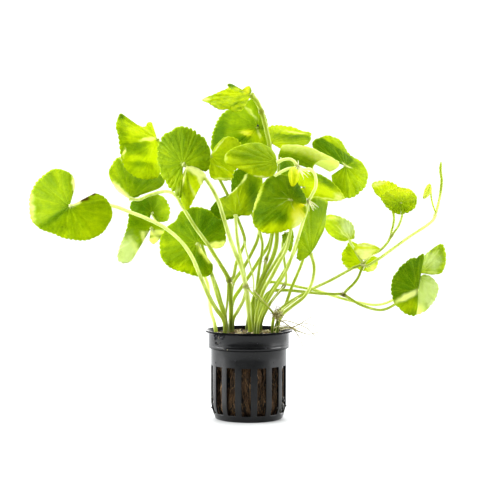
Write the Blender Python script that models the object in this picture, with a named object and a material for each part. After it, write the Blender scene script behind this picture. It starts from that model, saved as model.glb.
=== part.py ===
"""Potted pennywort: a net pot, its growing plug, leaf blades, petioles, runners and buds.

Metres, +Z up. The origin is the centre of the pot's base, and -Y is the plant's front.
"""

import math
from collections import namedtuple

import bpy
from mathutils import Vector

MM = 0.001

# The plant is drawn as a front elevation: x and z in millimetres as seen from the eye on the plane y = 0.
# A point's depth y then moves it along its line of sight, so the drawing stays as it was seen.
EYE_DISTANCE = 938.0
EYE_HEIGHT = 147.0

# Net pot, from the base up: radius, height
POT_WALL = 1.1
POT_BASE_R = 20.2
POT_HEEL_R = 21.6
POT_BODY_R = 22.8
POT_BAND_R = 24.6
POT_RIM_R = 26.1
POT_HEIGHT = 53.4
POT_SLOTS = 15
SLOT_SHARE = 14 / 24
SLOT_TURN = -4.0
SLOT_FOOT = 4.0
HEEL_TOP = 10.5
SLOT_TOP = 32.2
BAND_FOOT = 42.2
RIM_FOOT = 52.6
BASE_SLOT_IN = 9.0
BASE_SLOT_OUT = 16.5

# Growing plug inside the pot
PLUG_GAP = 0.5
PLUG_TOP = 50.3
PLUG_DOME = ((0, 1.5), (6, 0.3))  # in from the plug's side, and down from its top
PLUG_SIDES = 26

# Plant tissue
BLADE_THICK = 0.6
HUB_GAP = 0.55
STEM_TOP_R = 0.8
STEM_FOOT_R = 1.3
STEM_SPACING = 13.0
STEM_FOOT_Z = PLUG_TOP + 0.4

LEAF_GREEN = (0.30, 0.52, 0.02)
STEM_GREEN = (0.55, 0.70, 0.18)

# hub: x, z, y of the point where the veins meet, at the tip of the sinus.
# lean: how fast the blade falls back with x and with z. bowl: how far its margin bends back, in mm.
# margin: x, z from one lip of the sinus round to the other.
Blade = namedtuple("Blade", "hub lean bowl margin around")

BLADES = {
    "leaf_far_left": Blade(
        (-108.7, 128.8, -28), (-0.35, 0.25), 4,
        ((-105.5, 141), (-108, 149.5), (-119, 151.5), (-128, 144.5), (-133.4, 133), (-132, 121),
         (-122, 114),
         (-103, 108), (-90, 111.5), (-83.3, 121), (-84.5, 132), (-91.5, 137)), 20,
    ),
    "leaf_tall_left": Blade(
        (-55.5, 169.5, 22), (0.8, 0.35), 3,
        ((-57.5, 173.5), (-59, 178), (-62.4, 176.5), (-68.2, 178.6), (-77.8, 185), (-80.3, 177), (-79, 171),
         (-77.6, 163.6), (-69.9, 150), (-62, 147), (-55, 150.5)), 16,
    ),
    "leaf_lower_left": Blade(
        (-72.4, 133.7, 14), (0.2, 0.7), 4,
        ((-77, 136), (-82.4, 142.7), (-84.5, 149), (-81.6, 157), (-70, 159.5), (-59, 156), (-52.4, 149),
         (-51.5, 142), (-55.7, 139), (-62.5, 138), (-66.5, 135)), 16,
    ),
    "leaf_round_left": Blade(
        (-39.9, 154.4, -22), (-0.35, 0.35), 4,
        ((-24.8, 149.8), (-23, 156), (-23.6, 164), (-29.8, 173.2), (-39, 177.4), (-47.4, 175.3),
         (-54, 170.5),
         (-55.6, 161), (-54, 150), (-48, 140), (-42, 133.5), (-40.6, 137.5)), 20,
    ),
    "leaf_behind_round": Blade(
        (-37.8, 151.1, -11), (0.8, 0.2), 1,
        ((-34, 152), (-27, 147), (-29, 141.5), (-33.2, 135), (-36, 128.2), (-38.6, 127.8), (-41, 133),
         (-40.4, 142)), 12,
    ),
    "leaf_mid_left": Blade(
        (-59, 125.2, 30), (0.3, 0.5), 2,
        ((-60.5, 120.5), (-68, 122.8), (-71.6, 127), (-70.5, 132), (-62, 134.5), (-55.5, 136.5),
         (-50.7, 133.6),
         (-47.8, 126.9), (-49, 120.5), (-55, 119.5)), 14,
    ),
    "leaf_hanging_left": Blade(
        (-59.5, 115.8, 24), (0.2, -0.3), 2,
        ((-63.6, 112), (-66, 107.5), (-68.2, 101.9), (-70.8, 96.5), (-75, 94.2), (-79.6, 97.5),
         (-77.4, 107),
         (-74.5, 112), (-73.6, 119), (-72.8, 124.6), (-61.5, 122), (-51.8, 115.6), (-55, 110)), 16,
    ),
    "leaf_low_left": Blade(
        (-31.5, 106.5, 10), (-0.2, 0.5), 4,
        ((-14, 107.5), (-14.4, 116.9), (-20, 125), (-30.7, 128.4), (-38, 128), (-44.5, 120.5),
         (-51.5, 115.5),
         (-54.2, 105.2), (-51.5, 94.5), (-39.9, 88.8), (-30, 86.2), (-24.5, 87), (-21.4, 92.5)), 20,
    ),
    "leaf_top": Blade(
        (1.2, 196.3, 8), (0.25, 1.5), 1,
        ((1.4, 199.6), (-0.7, 201.4), (-3.5, 200.6), (-10.9, 199.8), (-19, 197.4), (-28.3, 193.2),
         (-23.5, 191),
         (-18.5, 187.6), (-10, 186), (-5, 186.6), (-1.5, 191)), 16,
    ),
    "leaf_upper_back": Blade(
        (5.1, 176.9, 24), (-0.2, 0.5), 3,
        ((7, 180.5), (4.1, 184.5), (-3, 187.5), (-14.8, 186), (-20, 178.5), (-22.9, 169.6), (-22.5, 163),
         (-17, 160), (-9, 163), (-1, 165.5), (4.5, 170.5)), 16,
    ),
    "leaf_upper_middle": Blade(
        (-23.3, 159.4, 3), (0.35, 0.5), 2,
        ((-20.3, 165.5), (-14.3, 170.8), (-7.5, 170), (-3.6, 164.8), (-4.8, 155.1), (-8.6, 149.5),
         (-10.4, 144.6),
         (-18.2, 144.9), (-22.6, 146), (-24.3, 152.5)), 16,
    ),
    "leaf_centre": Blade(
        (17, 155.6, -38), (0.25, 0.95), 3,
        ((16.2, 160.5), (12.4, 164.5), (5, 167.3), (-3.6, 166.2), (-10.5, 163.5), (-14.5, 157.5),
         (-8.5, 152.6),
         (-1.7, 149.8), (9.5, 146.3), (15, 148.2), (17.3, 151.5)), 18,
    ),
    "leaf_upper_right": Blade(
        (13, 167.6, 33), (0.2, 1.2), 2,
        ((11.5, 173), (13, 178), (24.5, 177.6), (33, 174.4), (37.9, 172), (35.5, 166.5), (27, 163.5),
         (19, 163.8)), 14,
    ),
    "leaf_round_right": Blade(
        (58.5, 153.5, 22), (0.45, 0.4), 4,
        ((45, 156), (38.5, 165), (43.1, 170.6), (50, 171.6), (56.5, 167.5), (60.7, 160.8), (68.5, 156),
         (72.4, 147), (70.3, 140.2), (63.2, 134.3), (55, 135.5), (49.6, 144), (49.8, 149.8)), 18,
    ),
    "leaf_under_round": Blade(
        (36, 143, 5), (0.4, 0.8), 2,
        ((33.5, 147.8), (40, 149.4), (46.1, 146.8), (53.2, 142), (58.2, 134), (53, 132.3), (46, 133.2),
         (38, 136.4), (32.5, 139.5)), 14,
    ),
    "leaf_front_centre": Blade(
        (25.8, 133.1, -34), (-0.2, 0.35), 4,
        ((34.4, 131.6), (33.6, 137), (30.3, 142.6), (21, 148), (13.4, 147.1), (8.6, 142), (4.4, 132),
         (2.4, 121.8),
         (4.5, 115.5), (10.5, 112.3), (19, 113), (29.7, 117.1), (34.2, 123.5), (34.6, 128.6)), 20,
    ),
    "leaf_folded_centre": Blade(
        (-8, 123.8, -8), (-0.25, 0.35), 3,
        ((-12.5, 121.7), (-17, 123.4), (-18, 129), (-16.5, 134.4), (-8, 139.8), (-1.8, 148.6), (5, 148.3),
         (8.6, 143), (5.5, 134), (1.5, 124), (-3.5, 123.6)), 16,
    ),
    "leaf_dark_back": Blade(
        (-5, 139, 13), (0.1, 0.3), 2,
        ((-11, 137.5), (-10.3, 147), (-7, 151.5), (0, 150), (3, 140), (1, 129), (-8, 121.5), (-18, 121),
         (-23.5, 126.2), (-19.5, 133)), 14,
    ),
    "leaf_long_right": Blade(
        (37.6, 100.4, -8), (1.1, -0.1), 1,
        ((40.9, 105.5), (45.2, 113), (47.2, 124), (47.4, 131.8), (43, 134.4), (38, 133), (34.6, 123),
         (31, 111),
         (29, 99), (31.2, 96), (35.4, 97.8)), 16,
    ),
    "leaf_small_back": Blade(
        (22.5, 113, 12), (0.4, 0.3), 1,
        ((26.9, 114.5), (27.4, 108.9), (25.2, 101.2), (21.3, 105.5), (19.8, 111.5)), 10,
    ),
    "leaf_right_mid": Blade(
        (61.3, 108.6, 12), (-0.3, 0.7), 2,
        ((64.2, 109.5), (64, 115), (62, 119), (55, 122.4), (47, 123.6), (46, 116.5), (49, 111.8),
         (54.1, 108.6),
         (58.3, 107.8)), 14,
    ),
    "leaf_runner_back": Blade(
        (69, 95, 8), (-0.1, 0.4), 2,
        ((66, 106), (61.3, 107.2), (57.5, 103.5), (56, 98), (58.3, 93.5), (62, 90.6), (67, 89.6),
         (73, 89.3),
         (77.5, 92), (78.6, 97), (74, 99)), 16,
    ),
    "leaf_runner_front": Blade(
        (79.6, 103.4, -6), (0.3, 0.9), 1,
        ((76, 105.3), (70.5, 106.4), (66, 105.6), (63.6, 102.5), (66.7, 98.6), (70, 96.4), (74, 98.2),
         (78, 101.3)), 12,
    ),
    "leaf_yellow_back": Blade(
        (86, 130, 2), (0.1, 1.0), 2,
        ((90.5, 131), (91, 140), (87.2, 143.4), (80.5, 144.3), (74.8, 142), (75.2, 138), (78.5, 133.5),
         (83, 129)), 12,
    ),
    "leaf_yellow_front": Blade(
        (92, 131, -12), (0.05, 0.9), 3,
        ((93.6, 124.3), (99.8, 126.6), (102.1, 132), (100.6, 137.4), (95.6, 139.9), (88.5, 139.6),
         (81, 136),
         (80.5, 132), (84.2, 127.6), (90.2, 124.1)), 16,
    ),
    "leaf_far_right": Blade(
        (103.4, 77.9, -18), (0.25, 0.25), 3,
        ((104.6, 90), (106.4, 98.9), (101, 99.2), (93, 94.5), (87.8, 87.5), (86.4, 80), (88, 71.5),
         (94, 64.5),
         (101, 62.6), (103, 69)), 18,
    ),
    "leaf_far_right_upper": Blade(
        (105.5, 90, -5), (-0.3, 0.5), 2,
        ((107, 97), (111, 102), (116.6, 105.8), (119.2, 101), (119, 94), (116, 89), (111, 88.2)), 12,
    ),
    "leaf_far_right_lower": Blade(
        (104.8, 85.4, -7), (-0.2, 0.2), 2,
        ((110, 86.5), (114.4, 83), (115.2, 78), (111.5, 71.5), (105.8, 64.3), (102, 63.6), (102.8, 71)), 12,
    ),
}

# Rolled leaf: a blade rolled down round its midrib into a tube with an open outer end
ROLL_HUB = (18.6, 161.6, 2.0)
ROLL_TIP = (49.5, 154.6, -5.0)
ROLL_R = 6.4
ROLL_FROM, ROLL_TO = -75.0, 205.0
ROLL_NARROW = 0.25
ROLL_WIDE_FROM = 0.45
ROLL_AROUND, ROLL_ALONG = 10, 6

# route: x, z, y from foot to top. The last point of a petiole is at its blade's hub, behind it.
# node: the place on the route, counted in its points, where a joint swells. foot: the radius there.
Stem = namedtuple("Stem", "route blade node foot top")

STEMS = {
    "petiole_far_left": Stem(
        ((-13.6, None, -5), (-15.1, 59.6, -5), (-19.6, 66.2, -5), (-23.7, 73.2, -5), (-29.2, 85.8, -6),
         (-34.4, 98, -7), (-41, 107.5, -9), (-51, 116, -12), (-63, 122, -15), (-73.4, 126, -17),
         (-82.6, 129.2, -19), (-98, 131, -23)), "leaf_far_left", None, 1.3, 0.9,
    ),
    "petiole_tall_left": Stem(
        ((-13.5, None, 8), (-14.6, 62.6, 7), (-17.1, 71.2, 7), (-19.6, 79.8, 8), (-22.6, 87.8, 10),
         (-25.5, 96, 15), (-30, 110, 23), (-36, 125, 28), (-42, 140, 30), (-49, 155, 29)),
        "leaf_tall_left", None, 1.2, 0.9,
    ),
    "stem_lower_left": Stem(
        ((-11.3, None, 2), (-10.8, 65.2, 2), (-11.1, 72.7, 1), (-12, 83.8, 0), (-17.1, 93.4, -2),
         (-20.6, 99, -2), (-25, 106, -1), (-33, 117, 0), (-40, 128.5, 2), (-44, 135.2, 4), (-50, 138.0, 9),
         (-60, 135.4, 15), (-66.5, 132, 18)), "leaf_lower_left", 3, 1.7, 0.9,
    ),
    "petiole_low_left": Stem(
        ((-12.8, None, -1.5), (-14.2, 60.1, -1.3), (-16.8, 67.7, -1), (-20.1, 77.8, 1), (-22.6, 87.3, 5),
         (-26.2, 96.6, 11)), "leaf_low_left", None, 1.2, 1.0,
    ),
    "petiole_upper_middle": Stem(
        ((-9.2, 86.6, 3.5), (-7.6, 94.4, 5), (-4.5, 102, 5), (-2.5, 109, 4), (-7, 122, 4), (-13, 136, 4),
         (-20, 150, 5)), "leaf_upper_middle", None, 1.0, 0.8,
    ),
    "stem_round_left": Stem(
        ((0.5, None, -3), (0, 57.6, -3), (-0.6, 67.7, -3), (-2, 80.5, -2), (-5, 92.9, -5), (-8, 100.4, -7),
         (-11.6, 110, -10), (-15, 121, -13), (-18.6, 132.4, -15), (-24.6, 143.5, -17), (-31, 150.2, -19)),
        "leaf_round_left", 3, 1.6, 1.0,
    ),
    "petiole_folded_centre": Stem(
        ((-2.4, 85.2, 2), (-3.4, 90.8, 1.5), (-4.7, 96.9, 0), (-6.2, 104, -2), (-7.4, 113, -5)),
        "leaf_folded_centre", None, 1.0, 0.9,
    ),
    "petiole_mid_left": Stem(
        ((-19.3, None, 3), (-21.1, 58.6, 5), (-23.1, 64.7, 7), (-24.2, 72.7, 9), (-25.5, 83, 12),
         (-31, 92, 18), (-42, 104, 27), (-53, 115.5, 36)), "leaf_mid_left", None, 1.2, 0.8,
    ),
    "petiole_hanging_left": Stem(
        ((-46.1, 107.1, 27.6), (-51, 108.8, 29.5),
         (-55.4, 111.4, 30.5)), "leaf_hanging_left", None, 0.8, 0.8,
    ),
    "petiole_upper_back": Stem(
        ((-8, None, 9), (-8.5, 60, 10), (-9, 74, 10), (-8.5, 82.8, 10.5), (-5.5, 87.8, 11),
         (-2.5, 92.9, 12),
         (2.6, 102.5, 13), (5.6, 110, 15), (8, 125, 19), (7.5, 145, 24), (6.5, 165, 26)),
        "leaf_upper_back", None, 1.2, 0.8,
    ),
    "petiole_upper_right": Stem(
        ((-10, None, 14.5), (-11, 62, 15), (-9.5, 71.7, 15), (-4.5, 79.8, 16), (1.6, 88.8, 17),
         (6.6, 96.9, 18), (12.6, 107, 19), (14.5, 120, 23), (14.3, 137, 29), (13.4, 155, 34)),
        "leaf_upper_right", None, 1.2, 0.8,
    ),
    "petiole_dark_back": Stem(
        ((3.5, None, 7.5), (3.5, 62, 7), (4.5, 75, 7), (5.6, 85.3, 7), (6.6, 92.9, 7.5), (7.9, 100.4, 8),
         (8, 108, 9), (4.5, 119, 12), (-1, 130, 15.5)), "leaf_dark_back", None, 1.1, 0.8,
    ),
    "petiole_rolled": Stem(
        ((8, None, 12.5), (8.5, 65, 12.5), (9, 80, 12.5), (9.5, 90, 12.5), (10.6, 96.9, 12.5),
         (12.6, 102.5, 12),
         (14.2, 110, 11.5), (17.3, 128, 8.8), (18, 150, 4.4), (18, 158.5, 2.5)), None, 4, 1.2, 0.8,
    ),
    "petiole_top": Stem(
        ((2.8, None, 1.5), (2.6, 62.6, 1.5), (3.2, 72.7, 1.5), (6.6, 81.8, 2), (9.6, 88.8, 2),
         (14.7, 98.5, 3), (17, 110, 4), (15.5, 130, 5), (13.6, 150, 6), (12.6, 165, 7), (10.6, 175, 8),
         (7.6, 186, 9.5), (4.6, 192.6, 10)), "leaf_top", None, 1.5, 1.2,
    ),
    "petiole_front_centre": Stem(
        ((4.5, None, -7), (5.6, 62.6, -6), (7.6, 71.7, -5), (9.6, 78.8, -5), (13.6, 85.8, -5),
         (18.7, 95.4, -6), (22.6, 102.5, -9), (24.6, 110, -14), (26, 119, -23), (26.2, 127, -29)),
        "leaf_front_centre", None, 1.3, 0.9,
    ),
    "petiole_small_back": Stem(
        ((8.2, None, 0), (8.9, 59.6, 0), (11.6, 67.7, 1), (15.7, 73.7, 2), (21.2, 80.3, 4), (22.7, 84.5, 5),
         (22.2, 91, 7), (21.2, 98.5, 11), (20.4, 106, 14.5)), "leaf_small_back", 4, 1.1, 0.7,
    ),
    "runner_aerial": Stem(
        ((8.6, None, -12.5), (9, 60, -11.5), (11, 70.7, -10.5), (15.5, 78.8, -10.5), (20.7, 85.9, -12),
         (23.7, 92, -14), (26.4, 99.4, -16), (29.3, 108, -19), (32.4, 118, -22), (35, 126, -24),
         (36.3, 132.2, -25),
         (38, 135.4, -27), (40.6, 141, -29), (40.3, 147.6, -31), (37.2, 151.4, -33), (33.4, 151.2, -35),
         (29.6, 153, -37), (27, 156.6, -38), (22.8, 157.6, -38.5)), "leaf_centre", 10, 1.2, 0.8,
    ),
    "petiole_round_right": Stem(
        ((10.8, None, 6.5), (11.6, 62, 7), (14.5, 72, 8), (19, 80, 10), (22.6, 87, 11), (25.6, 95, 13),
         (28.2, 102, 15), (33, 111, 18), (40, 122, 22), (48, 134, 26), (55, 146, 27)),
        "leaf_round_right", None, 1.2, 0.8,
    ),
    "petiole_under_round": Stem(
        ((14.6, None, 4.5), (18.7, 62.6, 5), (22.7, 70.2, 5), (25.9, 79.3, 6), (29.5, 87.8, 6),
         (32.8, 96.5, 7), (35, 108, 9), (36.4, 121, 10),
         (36.8, 133, 9)), "leaf_under_round", None, 1.2, 0.8,
    ),
    "petiole_long_right": Stem(
        ((16.2, None, -9.5), (19.2, 61.1, -8.5), (25.7, 67.7, -8.5), (32.8, 73.2, -9.5), (37, 79.3, -10),
         (39.3, 86.3, -9.5), (39.6, 92.9, -8.5)), "leaf_long_right", None, 1.3, 0.9,
    ),
    "runner_right": Stem(
        ((14, None, -1.5), (15, 60.1, -2.5), (18.2, 65.2, -3), (23.7, 70, -3), (30.8, 74.3, -3),
         (38.3, 78.6, -3), (49.3, 83.8, -2), (57, 88, -1), (64.3, 92, 0), (69.3, 94.2, 0), (74.6, 99.3, -1),
         (79.4, 102, -2.5), (83.8, 106.4, -6), (86.6, 111.2, -9), (90.9, 117.2, -9), (93, 124, -9)),
        "leaf_yellow_front", 9, 1.2, 0.7,
    ),
    "petiole_right_mid": Stem(
        ((68, 96.4, 2), (66, 99.5, 3.5), (63.6, 104, 8),
         (61.9, 106.4, 11.5)), "leaf_right_mid", None, 0.8, 0.7,
    ),
    "petiole_yellow_back": Stem(
        ((86, 113.6, -5.5), (87.6, 117.4, -4), (88, 123, -1)), "leaf_yellow_back", None, 0.7, 0.7,
    ),
    "runner_tip": Stem(
        ((72, 92.6, -1.5), (79.4, 97.4, -3), (85.8, 102, -4), (97.4, 110.4, -6), (106.4, 116.3, -8),
         (111.6, 120.4, -10), (113, 123.4, -10), (114.4, 128.2, -10), (116, 135.6, -11),
         (116.9, 144.6, -12),
         (116.1, 150.6, -12), (116.4, 155.6, -12)), None, 6, 0.9, 0.5,
    ),
    "runner_low": Stem(
        ((6, None, 16), (7, 62, 16), (8.5, 71, 16), (12.6, 76.9, 15), (20.7, 78, 12), (30.8, 77.3, 8),
         (40.9, 76.2, 4), (51.1, 75.6, 0.5), (57.7, 75.1, -1), (67.3, 69.4, -3.5), (77, 66.2, -7),
         (83, 66.4, -10), (89, 69.4, -12.5), (97, 74.4, -14)), "leaf_far_right", 8, 1.0, 0.7,
    ),
    "runner_low_second": Stem(
        ((-2, None, 17), (1, 68, 19), (5.6, 78.5, 19), (12.6, 82.8, 18), (20.7, 82, 16), (30.8, 79.9, 12),
         (40.9, 77.8, 8.5), (50, 75, 6), (58, 72.6, 4.5), (67.3, 70.4, 2.5), (77, 69, 0), (85.4, 70.9, -1),
         (95, 77, -1.5), (101, 82, -3)), "leaf_far_right_lower", None, 0.9, 0.7,
    ),
    "runner_branch": Stem(
        ((59.2, 77.6, -1.5), (63.4, 81.6, -1), (66.4, 85.6, -0.5),
         (68.4, 90.6, -0.5)), None, None, 0.8, 0.7,
    ),
}

# Buds: a stalk that ends in a small folded leaf. Each has its route, as a stem does, and its radius.
BUD_STALK_R = 0.5
BUD_SHARES = (0.8, 1, 0.85, 0.1)
BUDS = {
    "bud_aerial": (((27, 151.4, -41), (27.4, 149, -42), (27.8, 145, -42.5), (27, 140.6, -42)), 3.0),
    "bud_tip": (((111.6, 126.2, -11), (110.4, 133, -12), (109.2, 137.4, -12), (106.8, 134.4, -12.5)), 1.6),
}


def placed(x, z, y):
    """The point in metres whose place on the front elevation is x, z and whose depth is y."""
    spread = (EYE_DISTANCE + y) / EYE_DISTANCE
    return Vector((x * spread, y, EYE_HEIGHT + (z - EYE_HEIGHT) * spread)) * MM


def through(points, spots):
    """Points on a smooth curve through the given ones, at spots counted from 0 at the first of them."""
    found = []
    last = len(points) - 1
    for spot in spots:
        i = min(int(spot), last - 1)
        t = spot - i
        p1, p2 = points[i], points[i + 1]
        p0 = points[i - 1] if i > 0 else p1 * 2 - p2
        p3 = points[i + 2] if i + 2 <= last else p2 * 2 - p1
        slope = (p2 - p0) * t
        bend = (p0 * 2 - p1 * 5 + p2 * 4 - p3) * t**2
        turn = (p1 * 3 - p0 - p2 * 3 + p3) * t**3
        found.append(p1 + (slope + bend + turn) / 2)
    return found


def evenly(count, last):
    return [last * i / (count - 1) for i in range(count)]


def material(name, colour, roughness):
    made = bpy.data.materials.new(name)
    made.use_nodes = True
    shader = made.node_tree.nodes["Principled BSDF"]
    shader.inputs["Base Color"].default_value = (*colour, 1)
    shader.inputs["Roughness"].default_value = roughness
    shader.inputs["Metallic"].default_value = 0
    return made


def mesh_object(name, points, faces, mat, flat=False):
    mesh = bpy.data.meshes.new(name)
    mesh.from_pydata([tuple(p) for p in points], [], faces)
    mesh.validate()
    mesh.materials.append(mat)
    if not flat:
        mesh.shade_smooth()
        mesh.set_sharp_from_angle(angle=math.radians(40))
    made = bpy.data.objects.new(name, mesh)
    bpy.context.collection.objects.link(made)
    return made


def thicken(sheet, thick):
    solid = sheet.modifiers.new("thickness", "SOLIDIFY")
    solid.thickness = thick * MM
    solid.offset = 0
    return sheet


# Pot


def pot_meridian():
    """Outer and inner points of the pot's wall from the middle of its base up to its rim: r, z pairs."""
    wall = POT_WALL
    return (
        ((0, 0), (0, wall)),
        ((BASE_SLOT_IN, 0), (BASE_SLOT_IN, wall)),
        ((BASE_SLOT_OUT, 0), (BASE_SLOT_OUT, wall)),
        ((POT_BASE_R, 0), (POT_BASE_R - wall, wall)),
        ((POT_HEEL_R, SLOT_FOOT), (POT_HEEL_R - wall, SLOT_FOOT)),
        ((POT_BODY_R, HEEL_TOP), (POT_BODY_R - wall, HEEL_TOP)),
        ((POT_BODY_R, SLOT_TOP), (POT_BODY_R - wall, SLOT_TOP)),
        ((POT_BODY_R, BAND_FOOT), (POT_BODY_R - wall, BAND_FOOT + 0.8)),
        ((POT_BAND_R, BAND_FOOT + 0.6), (POT_BAND_R - wall, BAND_FOOT + 1.6)),
        ((POT_BAND_R, RIM_FOOT - 0.4), (POT_BAND_R - wall, RIM_FOOT - 0.4)),
        ((POT_RIM_R, RIM_FOOT), (POT_BAND_R - wall, RIM_FOOT + 0.3)),
        ((POT_RIM_R, POT_HEIGHT), (POT_BAND_R - wall + 0.3, POT_HEIGHT)),
    )


SLOT_STRETCHES = (1, 4, 5)


def make_pot(mat):
    """A turned shell with slots: each meridian step is open in every slot's two columns."""
    meridian = pot_meridian()
    pitch = 2 * math.pi / POT_SLOTS
    turns, is_slot = [], []
    for k in range(POT_SLOTS):
        middle = math.radians(SLOT_TURN) + k * pitch
        half = SLOT_SHARE * pitch / 2
        turns += [middle - half, middle, middle + half]
        is_slot += [True, True, False]
    columns = len(turns)
    points = [Vector((0, 0, 0)), Vector((0, 0, POT_WALL * MM))]
    index = {}
    for step, pair in enumerate(meridian[1:], start=1):
        for side, (r, z) in enumerate(pair):
            for c, turn in enumerate(turns):
                index[step, side, c] = len(points)
                points.append(Vector((r * math.sin(turn), -r * math.cos(turn), z)) * MM)
    faces = []
    for c in range(columns):
        d = (c + 1) % columns
        faces.append((0, index[1, 0, d], index[1, 0, c]))
        faces.append((1, index[1, 1, c], index[1, 1, d]))
        for step in range(1, len(meridian) - 1):
            a, b = step, step + 1
            if is_slot[c] and step in SLOT_STRETCHES:
                continue
            faces.append((index[a, 0, c], index[a, 0, d], index[b, 0, d], index[b, 0, c]))
            faces.append((index[a, 1, d], index[a, 1, c], index[b, 1, c], index[b, 1, d]))
        top = len(meridian) - 1
        faces.append((index[top, 0, c], index[top, 0, d], index[top, 1, d], index[top, 1, c]))
        if not is_slot[c]:
            continue
        for step in SLOT_STRETCHES:
            a, b = step, step + 1
            if step - 1 not in SLOT_STRETCHES:
                faces.append((index[a, 0, c], index[a, 0, d], index[a, 1, d], index[a, 1, c]))
            if step + 1 not in SLOT_STRETCHES:
                faces.append((index[b, 0, d], index[b, 0, c], index[b, 1, c], index[b, 1, d]))
            if not is_slot[c - 1]:
                faces.append((index[a, 0, c], index[a, 1, c], index[b, 1, c], index[b, 0, c]))
            if not is_slot[d]:
                faces.append((index[a, 1, d], index[a, 0, d], index[b, 0, d], index[b, 1, d]))
    return mesh_object("pot", points, faces, mat)


def make_plug(mat):
    """The plug of growing medium: as the pot's inside, less a gap, with a low dome on top."""
    inner = [pair[1] for pair in pot_meridian()]
    profile = [(0, inner[0][1] + PLUG_GAP), (inner[3][0] - PLUG_GAP, inner[3][1] + PLUG_GAP)]
    profile += [(inner[5][0] - PLUG_GAP, inner[5][1]), (inner[5][0] - PLUG_GAP, inner[7][1] + PLUG_GAP)]
    profile += [(inner[9][0] - PLUG_GAP, inner[8][1] + PLUG_GAP)]
    profile += [(inner[9][0] - PLUG_GAP - in_by, PLUG_TOP - down) for in_by, down in PLUG_DOME]
    profile += [(0, PLUG_TOP)]
    points = [Vector((0, 0, profile[0][1])) * MM, Vector((0, 0, profile[-1][1])) * MM]
    rows = profile[1:-1]
    for r, z in rows:
        for c in range(PLUG_SIDES):
            turn = 2 * math.pi * c / PLUG_SIDES
            points.append(Vector((r * math.sin(turn), -r * math.cos(turn), z)) * MM)
    faces = []
    for c in range(PLUG_SIDES):
        d = (c + 1) % PLUG_SIDES
        faces.append((0, 2 + d, 2 + c))
        top = 2 + (len(rows) - 1) * PLUG_SIDES
        faces.append((1, top + c, top + d))
        for row in range(len(rows) - 1):
            a = 2 + row * PLUG_SIDES
            b = a + PLUG_SIDES
            faces.append((a + c, a + d, b + d, b + c))
    return mesh_object("growing_plug", points, faces, mat)


# Plant


def margin_of(blade, count):
    """Points of the blade's margin on the elevation, from one lip of its sinus to the other."""
    outline = [Vector((x, z, 0)) for x, z in blade.margin]
    return through(outline, evenly(count, len(outline) - 1))


def blade_point(blade, margin_point, out):
    """The point at share out of the way from the hub to a point of the margin."""
    x0, z0, y0 = blade.hub
    dx = (margin_point.x - x0) * out
    dz = (margin_point.y - z0) * out
    y = y0 + blade.lean[0] * dx + blade.lean[1] * dz + blade.bowl * out**2
    return placed(x0 + dx, z0 + dz, y)


def make_blade(name, blade, mat):
    margin = margin_of(blade, blade.around)
    points = [blade_point(blade, margin[0], 0)]
    for out in (0.55, 1):
        points += [blade_point(blade, m, out) for m in margin]
    n = len(margin)
    faces = []
    for i in range(n - 1):
        faces.append((0, 1 + i, 2 + i))
        faces.append((1 + i, 1 + n + i, 2 + n + i, 2 + i))
    return thicken(mesh_object(name, points, faces, mat), BLADE_THICK)


def roll_reach(turn):
    """How far along the roll its edge lies at this turn, as a share: short below, long on top and behind."""
    return 0.94 + 0.2 * math.sin(math.radians(turn - 20))


def roll_point(along, turn):
    """A point of the rolled blade, in metres."""
    axis_from, axis_to = placed(*ROLL_HUB), placed(*ROLL_TIP)
    axis = (axis_to - axis_from).normalized()
    side = axis.cross(Vector((0, 0, 1))).normalized()
    up = side.cross(axis)
    along *= roll_reach(turn)
    opened = math.sin(min(along / ROLL_WIDE_FROM, 1) * math.pi / 2)
    radius = ROLL_R * MM * (ROLL_NARROW + (1 - ROLL_NARROW) * opened)
    around = math.radians(turn)
    return axis_from.lerp(axis_to, along) + side * radius * math.cos(around) + up * radius * math.sin(around)


def make_rolled_leaf(mat):
    points = []
    for k in range(ROLL_ALONG):
        for j in range(ROLL_AROUND):
            turn = ROLL_FROM + (ROLL_TO - ROLL_FROM) * j / (ROLL_AROUND - 1)
            points.append(roll_point(k / (ROLL_ALONG - 1), turn))
    faces = []
    for k in range(ROLL_ALONG - 1):
        for j in range(ROLL_AROUND - 1):
            a = k * ROLL_AROUND + j
            faces.append((a, a + 1, a + 1 + ROLL_AROUND, a + ROLL_AROUND))
    return thicken(mesh_object("leaf_rolled", points, faces, mat), BLADE_THICK)


def hub_end(blade, radius):
    """Where a petiole of this radius ends: behind the hub, clear of the blade."""
    x, z, y = blade.hub
    facing = Vector((blade.lean[0], -1, blade.lean[1])).normalized()
    return placed(x, z, y) - facing * (BLADE_THICK / 2 + HUB_GAP + radius) * MM


def tube(name, points, radii, mat):
    """A round solid along a path, with filled ends."""
    curve = bpy.data.curves.new(name, "CURVE")
    curve.dimensions = "3D"
    curve.bevel_depth = MM
    curve.bevel_resolution = 1
    curve.use_fill_caps = True
    spline = curve.splines.new("POLY")
    spline.points.add(len(points) - 1)
    for spot, point, radius in zip(spline.points, points, radii):
        spot.co = (*point, 1)
        spot.radius = radius
    curve.materials.append(mat)
    made = bpy.data.objects.new(name, curve)
    bpy.context.collection.objects.link(made)
    return made


def stem_points(stem):
    """The route's points in metres. A height of None stands for the top of the plug."""
    points = []
    for x, z, y in stem.route:
        point = placed(x, EYE_HEIGHT if z is None else z, y)
        if z is None:
            point.z = STEM_FOOT_Z * MM
        points.append(point)
    if stem.blade:
        points.append(hub_end(BLADES[stem.blade], stem.top))
    return points


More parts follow.
